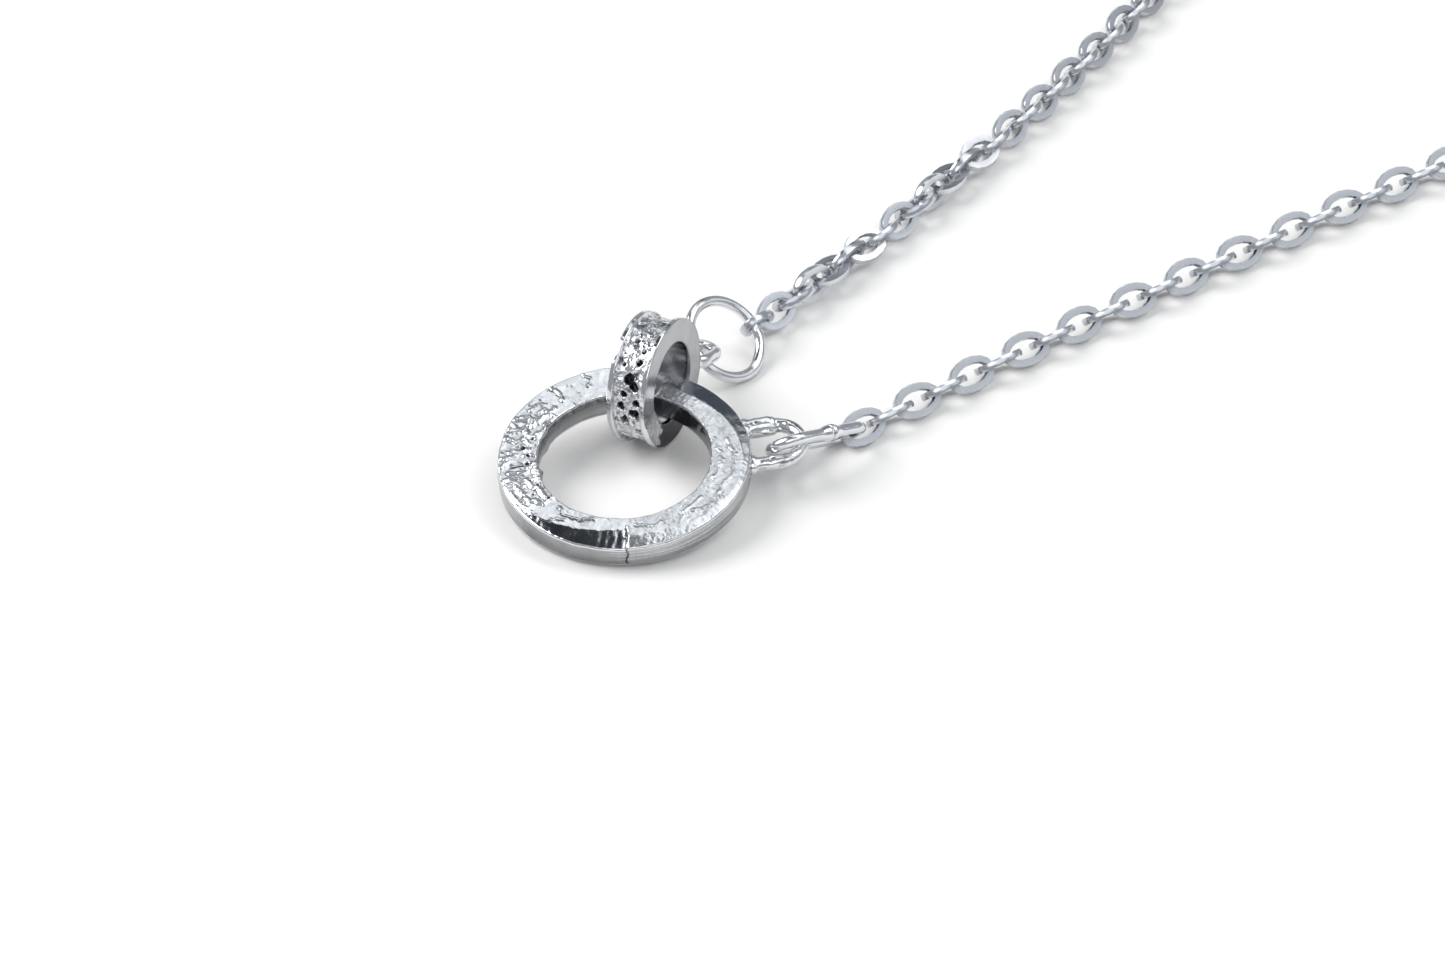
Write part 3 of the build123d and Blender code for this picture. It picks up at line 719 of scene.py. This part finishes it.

    # The whole skin, and its painted shade
    angle = np.radians(ROUGH_SIDE + np.concatenate([a, wall_a, plain_a, in_a], 1))
    radius = np.concatenate([out, wall_r, plain_r, in_r], 1)
    level = np.concatenate([top, wall_z, plain_z, in_z], 1)
    local = round_points(radius, angle, level).reshape(-1, 3)
    hollow = np.zeros(angle.shape)
    columns = len(share)
    # Painted shade: darker on the veins' steep flanks, in the low spots of the wrinkles and scratches, and
    # in the cracks and pits
    steep = np.abs(np.gradient(veins, axis=1)) * 6 + np.abs(np.gradient(veins, axis=0)) * 6
    low_spots = smooth(0.36 - wrinkles, 0.0, 0.2) * ragged + smooth(0.30 - scratches, 0.0, 0.2) * scratchy
    hollow[:, :columns] = np.clip(low_spots * 0.15 + steep * 0.35, 0, 1) * (1 - 0.6 * polished)
    hollow[:, :columns] = np.maximum(hollow[:, :columns], smooth(sunk, 0.01, 0.07))
    first, last = columns, columns + len(wall)
    # Painted shade on the outer wall: darker towards the bottom and at the front, lighter on the beaded
    # lines, darker in the split
    front = window(wall_a, 25, 100, 20)
    hollow[:, first:last] = np.clip(
        0.48 + 0.15 * front - 0.18 * wall_z - 10 * beading + 0.7 * split, 0, 1)
    # Painted shade on the hole's wall: darker all round, most on the upper part of the side that faces the
    # camera
    hollow[:, -in_a.shape[1]:] = 0.42 + 0.32 * window(in_a, -120, 30, 20) * smooth(in_z, -0.2, 0.5)
    rough = np.full(angle.shape, 0.22)
    rough[:, :columns] = (0.35 + 0.45 * scratchy + 0.15 * ragged) * (1 - 0.95 * polished)
    points = in_plane(local, CIRCLE_CENTRE, axes((1, 0, 0), CIRCLE_NORMAL))
    return Skin(points, closed_faces(rows, angle.shape[1]), hollow, rough)


def circle_eye(sizes):
    """The soldered eye, a bent wire over which one thicker leg ends in a blunt stub."""
    own = axes(EYE_WAY, CIRCLE_NORMAL)
    half = sizes.eye_half
    corners = [(6.7, -half), (sizes.eye_far, -half), (sizes.eye_far, half), (6.7, half)]
    path = in_plane(rounded_path(corners, 1.4, 0.08, False), CIRCLE_CENTRE, own)
    wire = tube(path, own[2], CIRCLE_EYE_WIRE, 20, False)
    stub_path = in_plane([(6.8 + 0.1 * k, half) for k in range(26)], CIRCLE_CENTRE, own)
    stub = tube(stub_path, own[2], CIRCLE_EYE_STUB, 22, False, end_round=0.3)
    upper = ball(in_plane([(7.45, half)], CIRCLE_CENTRE, own)[0], (0.55, 0.80, 0.62), own)
    lower = ball(in_plane([(7.45, -half)], CIRCLE_CENTRE, own)[0], (0.55, 0.66, 0.58), own)
    eye = melted(wire.joined(stub, upper, lower), MELT_GRAIN)
    eye.rough[:] = 0.15
    return hammered(eye, 0.035, 0.55, 41, 0.35)


# The band


def band_body(sizes):
    """The channelled band: two plain rims and a pitted floor between them."""
    rows = sizes.band_around
    around = np.linspace(0, 360, rows, endpoint=False)
    edge = 0.05
    bore = np.linspace(-BAND_HALF + edge, BAND_HALF - edge, 9)
    face = np.linspace(BAND_HOLE + edge, BAND_RADIUS - edge, 15)
    rim = np.linspace(BAND_HALF - edge, CHANNEL_HALF, 5)
    floor = np.linspace(CHANNEL_HALF - 0.12, -CHANNEL_HALF + 0.12, 33)
    lip, foot = (BAND_RADIUS - 0.10, CHANNEL_HALF - 0.03), (CHANNEL_FLOOR + 0.06, CHANNEL_HALF - 0.09)
    profile = [(BAND_HOLE, t, BORE) for t in bore]
    profile += [(r, BAND_HALF, FACE) for r in face]
    profile += [(BAND_RADIUS, t, RIM) for t in rim] + [(*lip, RIM), (*foot, FLOOR)]
    profile += [(CHANNEL_FLOOR, t, FLOOR) for t in floor]
    profile += [(foot[0], -foot[1], FLOOR), (lip[0], -lip[1], RIM)]
    profile += [(BAND_RADIUS, -t, RIM) for t in rim[::-1]]
    profile += [(r, -BAND_HALF, BACK) for r in face[::-1]]
    profile = np.array(profile)
    a = np.repeat(around[:, None], len(profile), 1)
    r = np.repeat(profile[None, :, 0], rows, 0)
    t = np.repeat(profile[None, :, 1], rows, 0)
    kind = np.repeat(profile[None, :, 2], rows, 0)
    turn = np.radians(a)
    spots = round_points(r, turn, t)
    lumps = cloud(spots, 0.55, 3, 51)
    crests = crust(spots, 0.50, 3, 53)
    soft = cloud(spots, 1.6, 2, 55)
    channel = (kind == FLOOR).astype(float)
    pits = np.zeros(a.shape)
    for pit_around, pit_across, half in CHANNEL_PITS:
        away = np.radians((a - pit_around + 180) % 360 - 180) * CHANNEL_FLOOR
        gap = np.hypot(away, t - pit_across * CHANNEL_HALF) * (1 + 0.45 * lumps)
        pits = np.maximum(pits, 1 - smooth(gap, 0.8 * half, 1.4 * half))
    pitted = 0.55 + 0.45 * window(a, 25, 175, 20)
    r = r + channel * (0.13 * (crests - 0.45) * pitted + 0.07 * lumps - 0.42 * pits)
    low_part = window(a, 128, 236, 16)
    rim_only = (kind == RIM).astype(float)
    r = r + rim_only * (0.02 * lumps + low_part * 0.09 * (crests - 0.4)) + 0.02 * soft

    # The right face: a rough patch in front that ends in a ragged edge below
    right = (kind == FACE).astype(float)
    ragged_end = 137 + 5 * np.sin(r * 9) + 4 * lumps
    patch = right * smooth(a, 96, 104) * (1 - smooth(a, ragged_end - 0.6, ragged_end + 0.6))
    grit = crust(spots, 0.20, 2, 57)
    t = t + patch * (0.06 + 0.12 * (grit - 0.4)) + right * 0.008 * soft
    # Painted shade: darker in the channel's pits and low spots, in the low spots of the rims' lower part, on
    # the right face outside its rough patch and most below its ragged edge, and inside the bore
    hollow = np.clip(channel * (pits + smooth(0.40 - crests, 0.0, 0.3) * 0.8), 0, 1)
    hollow = np.maximum(hollow, low_part * rim_only * smooth(0.4 - crests, 0.0, 0.3) * 0.5)
    below = right * smooth(a, ragged_end, ragged_end + 2) * (1 - smooth(a, 205, 230))
    hollow = np.maximum(hollow, right * (0.46 * (1 - patch)) + 0.5 * below)
    hollow = np.maximum(hollow, 0.3 * (kind == BORE))
    rough = 0.03 + channel * 0.4 + patch * 0.4 + rim_only * 0.10
    local = round_points(r, turn, t).reshape(-1, 3)
    own = axes(-np.asarray(BAND_BACK), BAND_AXIS)
    up = np.cross(own[2], own[0])
    if up[2] < 0:
        up = -up
    points = in_plane(local, BAND_CENTRE, np.array([up, own[0], own[2]]))
    return Skin(points, closed_faces(rows, len(profile)), hollow, rough)


def band_eye():
    """The small eye soldered to the band's back, its wire's section a fifth taller across the loop than it
    is wide.
    """
    own = axes(LOOP_WAY, np.cross(LOOP_WAY, BAND_AXIS))
    half = 1.07
    corners = [(3.95, -half), (7.07, -half), (7.07, half), (3.95, half)]
    path = in_plane(rounded_path(corners, half - 0.02, 0.08, True), LOOP_SPOT, own)
    wire = tube(path, own[2], BAND_EYE_WIRE, 20, True, thickness=1.2)
    roots = [
        ball(in_plane([(4.0, side * 0.72)], LOOP_SPOT, own)[0], (0.40, 0.40, 0.45), own) for side in (-1, 1)
    ]
    eye = melted(wire.joined(*roots), MELT_GRAIN)
    eye.rough[:] = 0.08
    return hammered(eye, 0.02, 0.8, 61, 0.15)


# Wire rings and the clasp


def jump_ring_skin():
    """The round ring, a little flattened at its top right, with the dent of its join."""
    own = axes(JUMP_LEVEL, JUMP_NORMAL)
    turn = full_turn(150)
    radius = JUMP_RADIUS - 0.05 * bell(turn, 5.2, 0.30) - 0.03 * bell(turn, 5.9, 0.10)
    thick = JUMP_WIRE + 0.025 * bell(turn, 5.2, 0.25) - 0.03 * bell(turn, 5.9, 0.05)
    path = ring_path(radius, turn, JUMP_CENTRE, own)
    return hammered(tube(path, own[2], thick, 22, True), 0.012, 0.9, 71)


def oval_ring_skin():
    """The flattened open ring, its two ends flared where they were cut."""
    own = axes(OVAL_WAY, OVAL_NORMAL)
    reach, half, cut, gap = 3.36029, 1.19, 0.0744, 0.05
    corners = [
        (cut + gap, -half), (reach, -half), (reach, half),
        (-reach, half), (-reach, -half), (cut - gap, -half),
    ]
    flat = rounded_path(corners, half - 0.02, 0.09, False)
    run = np.concatenate([[0], np.cumsum(np.linalg.norm(np.diff(flat, axis=0), axis=1))])
    near_end = np.minimum(run, run[-1] - run)
    thick = OVAL_WIRE + 0.14 * (1 - smooth(near_end, 0.05, 0.85))
    path = in_plane(flat, OVAL_CENTRE, own)
    return hammered(tube(path, own[2], thick, 22, False, end_round=0.06), 0.012, 0.9, 73)


def clasp_skin():
    """The spring ring: a round tube with its gate's seams, its knob and its eye."""
    own = axes(CLASP_WAY, CLASP_NORMAL)
    turn = full_turn(180)
    thick = np.full(turn.shape, CLASP_WIRE)
    for seam in (0.95, 2.15):
        thick -= 0.045 * bell(turn, seam, 0.022)
    thick -= 0.04 * (smooth(turn, 0.95, 1.0) * (1 - smooth(turn, 2.1, 2.15)))
    body = tube(ring_path(CLASP_RADIUS, turn, CLASP_CENTRE, own), own[2], thick, 24, True)
    eye_own = axes(CLASP_WAY, CLASP_EYE_NORMAL)
    eye_path = ring_path(CLASP_EYE_RADIUS, full_turn(72), CLASP_EYE_CENTRE, eye_own)
    eye = tube(eye_path, eye_own[2], CLASP_EYE_WIRE, 16, True)
    knob_path = [np.asarray(CLASP_CENTRE) + own[1] * (CLASP_RADIUS + 0.1 * k) for k in range(10)]
    knob = tube(knob_path, own[2], KNOB_WIRE, 20, False, end_round=0.14)
    return hammered(body.joined(eye, knob), 0.006, 1.0, 81)


def catch_ring_skin():
    """The plain soldered ring that the clasp closes on."""
    own = axes(CATCH_WAY, CATCH_NORMAL)
    turn = full_turn(96)
    thick = CATCH_WIRE + 0.015 * bell(turn, 2.0, 0.08)
    path = ring_path(CATCH_RADIUS, turn, CATCH_CENTRE, own)
    return hammered(tube(path, own[2], thick, 18, True), 0.006, 0.8, 83)


# The chain


def loose_parts(node):
    """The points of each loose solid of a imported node, in millimetres."""
    mesh = node.data
    points = np.zeros(len(mesh.vertices) * 3)
    mesh.vertices.foreach_get("co", points)
    points = points.reshape(-1, 3) / MM
    mesh.calc_loop_triangles()
    corners = np.zeros(len(mesh.loop_triangles) * 3, np.int64)
    mesh.loop_triangles.foreach_get("vertices", corners)
    merged, index = np.unique(np.round(points, 4), axis=0, return_inverse=True)
    triangles = index.ravel()[corners].reshape(-1, 3)
    label = np.arange(len(merged))
    while True:
        least = label[triangles].min(1)
        lower = label.copy()
        for k in range(3):
            np.minimum.at(lower, triangles[:, k], least)
        lower = lower[lower]
        if (lower == label).all():
            break
        label = lower
    return [merged[label == value] for value in np.unique(label)]


def link_place(points):
    """A link's middle and its long, wide and thin axes."""
    middle = points.mean(0)
    ways = np.linalg.svd(points - middle, full_matrices=False)[2]
    if np.linalg.det(ways) < 0:
        ways[2] = -ways[2]
    reach = (points - middle) @ ways.T
    return middle + (reach.min(0) + reach.max(0)) / 2 @ ways, ways


def link_tree(material):
    """Geometry nodes that set one wire link on each point, turned as the point says."""
    tree = bpy.data.node_groups.new("CableLinks", "GeometryNodeTree")
    face = tree.interface
    face.new_socket("Geometry", in_out="INPUT", socket_type="NodeSocketGeometry")
    for name in ("Length", "Width", "Wire", "Thickness"):
        face.new_socket(name, in_out="INPUT", socket_type="NodeSocketFloat")
    for name in ("Link Sides", "Wire Sides"):
        face.new_socket(name, in_out="INPUT", socket_type="NodeSocketInt")
    face.new_socket("Geometry", in_out="OUTPUT", socket_type="NodeSocketGeometry")
    flow = Flow(tree)
    given = tree.nodes.new("NodeGroupInput")
    size = {socket.name: Socket(flow, socket) for socket in given.outputs}

    def circle(sides):
        return flow.add("GeometryNodeCurvePrimitiveCircle", inputs={"Resolution": sides, "Radius": 1.0})

    def part(vector, index):
        return flow.add("ShaderNodeSeparateXYZ", inputs={"Vector": vector}, output=index)

    long_half = (size["Length"] - size["Wire"]) * 0.5
    wide_half = (size["Width"] - size["Wire"]) * 0.5
    oval_scale = flow.add("ShaderNodeCombineXYZ", inputs={0: long_half, 1: wide_half, 2: 1.0})
    oval = flow.add("GeometryNodeTransform", inputs={
        "Geometry": circle(size["Link Sides"]), "Scale": oval_scale,
    })
    oval = flow.add("GeometryNodeSetCurveNormal", {"mode": "Z_UP"}, {"Curve": oval})
    wire = circle(size["Wire Sides"])
    round_place = flow.add("GeometryNodeInputPosition")
    across, upward = part(round_place, 0), part(round_place, 1)
    # A rolled wire has broad flats: its corners are drawn out to three quarters of its width
    across = across * (1 + upward * upward * 0.7)
    flat_place = flow.add("ShaderNodeCombineXYZ", inputs={
        0: across * size["Wire"] * 0.5, 1: upward * size["Thickness"] * 0.577, 2: 0.0,
    })
    wire = flow.add("GeometryNodeSetPosition", inputs={"Geometry": wire, "Position": flat_place})
    link = flow.add("GeometryNodeCurveToMesh", inputs={"Curve": oval, "Profile Curve": wire})
    bend = flow.add("GeometryNodeInputMeshEdgeAngle")
    less = {"data_type": "FLOAT", "operation": "LESS_THAN"}
    soft = flow.add("FunctionNodeCompare", less, {0: bend, 1: 0.75})
    edges = {"Geometry": link, "Shade Smooth": soft}
    link = flow.add("GeometryNodeSetShadeSmooth", {"domain": "EDGE"}, edges)
    place = flow.add("GeometryNodeInputPosition")
    along = part(place, 0) / (size["Length"] * 0.5)
    aside = part(place, 1) / (size["Width"] * 0.5)
    # Painted shade on the inner side of each link and painted contact shadow at its two ends where the links
    # touch, with a little darkening all over
    inner = 1 - (along**2 + aside**2).eased(0.40, 0.80)
    contact_shade = (along**2).eased(0.50, 0.85)
    link = flow.add(
        "GeometryNodeStoreNamedAttribute", {"data_type": "FLOAT", "domain": "POINT"},
        {"Geometry": link, "Name": "hollow", "Value": inner * 0.35 + contact_shade * 0.35 + 0.06},
    )
    facing = flow.add("GeometryNodeInputNamedAttribute", {"data_type": "QUATERNION"}, {"Name": "facing"})
    links = flow.add("GeometryNodeInstanceOnPoints", inputs={
        "Points": size["Geometry"], "Instance": link, "Rotation": facing,
    })
    links = flow.add("GeometryNodeRealizeInstances", inputs={"Geometry": links})
    links = flow.add("GeometryNodeSetMaterial", inputs={"Geometry": links, "Material": material})
    out = tree.nodes.new("NodeGroupOutput")
    tree.links.new(links.socket, out.inputs["Geometry"])
    return tree


def strand(name, material, sizes):
    """One strand of the chain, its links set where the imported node's links lie."""
    places = [link_place(points) for points in loose_parts(frame["nodes"][name])]
    if len(places) < 50:
        raise RuntimeError(f"{name} has only {len(places)} links")
    mesh = bpy.data.meshes.new(name + "_links")
    mesh.from_pydata([tuple(middle * MM) for middle, _ in places], [], [])
    turns = []
    for _, ways in places:
        turns += list(Matrix(ways.T.tolist()).to_quaternion())
    mesh.attributes.new("facing", "QUATERNION", "POINT").data.foreach_set("value", turns)
    piece = bpy.data.objects.new(name + "_links", mesh)
    bpy.context.scene.collection.objects.link(piece)
    modifier = piece.modifiers.new("Links", "NODES")
    modifier.node_group = link_tree(material)
    values = {
        "Length": sizes.link_length, "Width": sizes.link_width, "Wire": sizes.link_wire,
        "Thickness": sizes.link_thickness, "Link Sides": sizes.link_sides, "Wire Sides": sizes.wire_sides,
    }
    for socket in modifier.node_group.interface.items_tree:
        if socket.in_out == "INPUT" and socket.name in values:
            modifier[socket.identifier] = values[socket.name]
    evaluated = piece.evaluated_get(bpy.context.evaluated_depsgraph_get())
    result = bpy.data.meshes.new_from_object(evaluated)
    if not len(result.polygons):
        raise RuntimeError(f"{name} came out empty")
    piece.modifiers.remove(modifier)
    piece.data = result
    bpy.data.meshes.remove(mesh)
    result.attributes.new("rough", "FLOAT", "POINT")
    finish_piece(piece)
    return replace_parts(piece, name)


# What a user sets


LENGTH = {"unit": "LENGTH", "precision": 5}
COLOUR = {"subtype": "COLOR"}
SHARE = {"subtype": "FACTOR", "min": 0, "max": 1}


class NecklaceShapes(bpy.types.PropertyGroup):
    """Sizes of the details"""

    relief: FloatProperty(
        name="Relief", description="Height of the veins, as a share", default=1.0, min=0, max=2)
    around: IntProperty(name="Circle steps", description="Faces around the circle", default=800, min=200)
    band_around: IntProperty(name="Band steps", description="Faces around the band", default=430, min=120)
    eye_half: FloatProperty(
        name="Eye half width", description="In millimetres, to the wire's middle", default=1.52)
    eye_far: FloatProperty(
        name="Eye reach", description="In millimetres from the circle's middle", default=10.57)
    link_length: FloatProperty(name="Link length", description="Outside", default=0.00341, **LENGTH)
    link_width: FloatProperty(name="Link width", description="Outside", default=0.0022, **LENGTH)
    link_wire: FloatProperty(name="Link wire", description="Seen from above", default=0.00053, **LENGTH)
    link_thickness: FloatProperty(
        name="Link thickness", description="Of its wire", default=0.00043, **LENGTH)
    link_sides: IntProperty(name="Link sides", description="Steps round a link", default=16, min=10, max=16)
    wire_sides: IntProperty(name="Wire sides", description="Steps round its wire", default=6, min=5, max=6)


class NecklaceMetals(bpy.types.PropertyGroup):
    """Colours and polish of the metal"""

    cast: FloatVectorProperty(
        name="Cast metal", description="Circle and band", default=SLOTS["cast_metal"], **COLOUR)
    wire: FloatVectorProperty(
        name="Wire metal", description="Rings and clasp", default=SLOTS["wire_metal"], **COLOUR)
    chain: FloatVectorProperty(
        name="Chain metal", description="Links", default=SLOTS["chain_metal"], **COLOUR)
    cast_roughness: FloatProperty(
        name="Cast roughness", description="Where it is polished", default=0.07, **SHARE)
    wire_roughness: FloatProperty(name="Wire roughness", description="Of the rings", default=0.10, **SHARE)
    chain_roughness: FloatProperty(name="Chain roughness", description="Of the links", default=0.18, **SHARE)


class NecklaceStage(bpy.types.PropertyGroup):
    """Light and camera"""

    light: FloatProperty(
        name="Light", description="Strength of the soft light all round", default=1.0, min=0)
    floor: FloatVectorProperty(
        name="Floor", description="Colour of the table", default=(0.86, 0.85, 0.835), **COLOUR)
    distance: FloatProperty(name="Distance", description="Camera to pendant", default=0.38, unit="LENGTH")
    lens: FloatProperty(name="Lens", description="Focal length in millimetres", default=159.14)


def shapes():
    return bpy.context.scene.necklace_shapes


def silver(kind):
    """The cast, wire or chain metal, made once."""
    looks, name = bpy.context.scene.necklace_metals, kind + "_silver"
    return bpy.data.materials.get(name) or metal(
        name, tuple(getattr(looks, kind)), getattr(looks, kind + "_roughness"), *METAL_GRAIN[kind])


# The steps


class NECKLACE_OT_circle(bpy.types.Operator):
    """Cast circle with its relief, sloping shoulder and soldered eye"""

    bl_idname = "necklace.circle"
    bl_label = "Circle"

    def execute(self, context):
        skin = circle_body(shapes()).joined(circle_eye(shapes()))
        piece = as_object("cast_circle", skin, silver("cast"))
        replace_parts(piece, "circle_ring")
        return {"FINISHED"}


class NECKLACE_OT_band(bpy.types.Operator):
    """Channelled band with its pitted floor and its soldered eye"""

    bl_idname = "necklace.band"
    bl_label = "Band"

    def execute(self, context):
        skin = band_body(shapes()).joined(band_eye())
        piece = as_object("pitted_band", skin, silver("cast"))
        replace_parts(piece, "channel_band")
        return {"FINISHED"}


class NECKLACE_OT_rings(bpy.types.Operator):
    """Round jump ring and flattened oval ring"""

    bl_idname = "necklace.rings"
    bl_label = "Jump rings"

    def execute(self, context):
        round_ring = as_object("round_wire_ring", jump_ring_skin(), silver("wire"))
        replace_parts(round_ring, "jump_ring")
        oval_ring = as_object("oval_wire_ring", oval_ring_skin(), silver("wire"))
        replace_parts(oval_ring, "oval_jump_ring")
        return {"FINISHED"}


class NECKLACE_OT_chain(bpy.types.Operator):
    """Both strands of the cable chain"""

    bl_idname = "necklace.chain"
    bl_label = "Chain"

    def execute(self, context):
        for name in ("chain_front", "chain_back"):
            strand(name, silver("chain"), shapes())
        return {"FINISHED"}


class NECKLACE_OT_clasp(bpy.types.Operator):
    """Spring ring and the ring that it closes on"""

    bl_idname = "necklace.clasp"
    bl_label = "Clasp"

    def execute(self, context):
        spring = as_object("spring_ring", clasp_skin(), silver("wire"))
        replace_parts(spring, "clasp")
        catch = as_object("catch_ring", catch_ring_skin(), silver("wire"))
        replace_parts(catch, "clasp_ring")
        return {"FINISHED"}


def toward(heading, rise):
    """A direction: heading in degrees from the camera's line of sight, leftwards, and rise."""
    turn = math.radians(CAMERA_AZIMUTH + heading)
    flat = math.cos(math.radians(rise))
    return (flat * math.cos(turn), flat * math.sin(turn), math.sin(math.radians(rise)))


class NECKLACE_OT_stage(bpy.types.Operator):
    """Pale table, soft light all round and the camera"""

    bl_idname = "necklace.stage"
    bl_label = "Stage"

    def execute(self, context):
        scene = context.scene
        look = scene.necklace_stage
        mesh = bpy.data.meshes.new("table")
        corners = [(x * TABLE_HALF, y * TABLE_HALF, 0) for x, y in ((-1, -1), (1, -1), (1, 1), (-1, 1))]
        mesh.from_pydata(corners, [], [(0, 1, 2, 3)])
        table = bpy.data.objects.new("table", mesh)
        scene.collection.objects.link(table)
        paint = bpy.data.materials.new("table_white")
        paint.use_nodes = True
        flow = Flow(paint.node_tree)
        surface = flow.add("ShaderNodeBsdfPrincipled", inputs={
            "Base Color": (*look.floor, 1.0), "Roughness": 0.9, "Specular IOR Level": 0.1,
        })
        flow.add("ShaderNodeOutputMaterial", inputs={"Surface": surface})
        mesh.materials.append(paint)
        scene.view_settings.view_transform = "Standard"
        self.light(scene, look.light)
        self.camera(scene, look)
        return {"FINISHED"}

    def light(self, scene, strength):
        world = bpy.data.worlds.new("studio")
        scene.world = world
        world.use_nodes = True
        flow = Flow(world.node_tree)
        ray = flow.add("ShaderNodeTexCoord")
        colour = ROOM_COLOUR
        for heading, rise, inner, outer, tint, level in LIGHTS:
            ways = {0: ray, 1: toward(heading, rise)}
            near = flow.add("ShaderNodeVectorMath", {"operation": "DOT_PRODUCT"}, ways, 1)
            share = near.eased(math.cos(math.radians(outer)), math.cos(math.radians(inner)))
            colour = flow.mix(share, colour, (*(level * part for part in tint), 1.0))
        glow = flow.add("ShaderNodeBackground", inputs={"Color": colour, "Strength": strength})
        flow.add("ShaderNodeOutputWorld", inputs={"Surface": glow})

    def camera(self, scene, look):
        back = Vector(CAMERA_BACK)
        data = bpy.data.cameras.new("photo_camera")
        data.lens = look.lens
        data.sensor_width = 36
        data.clip_start = 0.02
        data.clip_end = 20
        camera = bpy.data.objects.new("photo_camera", data)
        camera.location = Vector(CAMERA_TARGET) * MM + back * look.distance
        camera.rotation_mode = "QUATERNION"
        camera.rotation_quaternion = (-back).to_track_quat("-Z", "Y")
        scene.collection.objects.link(camera)
        scene.camera = camera


class NECKLACE_PT_panel(bpy.types.Panel):
    """Steps that make the necklace"""

    bl_label = "Circle Necklace"
    bl_idname = "NECKLACE_PT_panel"
    bl_space_type = "VIEW_3D"
    bl_region_type = "UI"
    bl_category = "Necklace"

    def draw(self, context):
        scene = context.scene
        for group in (scene.necklace_shapes, scene.necklace_metals, scene.necklace_stage):
            column = self.layout.column(align=True)
            for name in group.__annotations__:
                column.prop(group, name)
        for step in STEPS:
            self.layout.operator(step.bl_idname)


STEPS = (
    NECKLACE_OT_circle,
    NECKLACE_OT_band,
    NECKLACE_OT_rings,
    NECKLACE_OT_chain,
    NECKLACE_OT_clasp,
    NECKLACE_OT_stage,
)
CLASSES = (NecklaceShapes, NecklaceMetals, NecklaceStage, *STEPS, NECKLACE_PT_panel)


def register():
    for kind in CLASSES:
        bpy.utils.register_class(kind)
    bpy.types.Scene.necklace_shapes = PointerProperty(type=NecklaceShapes)
    bpy.types.Scene.necklace_metals = PointerProperty(type=NecklaceMetals)
    bpy.types.Scene.necklace_stage = PointerProperty(type=NecklaceStage)


def unregister():
    del bpy.types.Scene.necklace_shapes
    del bpy.types.Scene.necklace_metals
    del bpy.types.Scene.necklace_stage
    for kind in reversed(CLASSES):
        bpy.utils.unregister_class(kind)


def main():
    register()
    bpy.ops.necklace.circle()
    bpy.ops.necklace.band()
    bpy.ops.necklace.rings()
    bpy.ops.necklace.chain()
    bpy.ops.necklace.clasp()
    bpy.ops.necklace.stage()


if __name__ == "__main__":
    main()
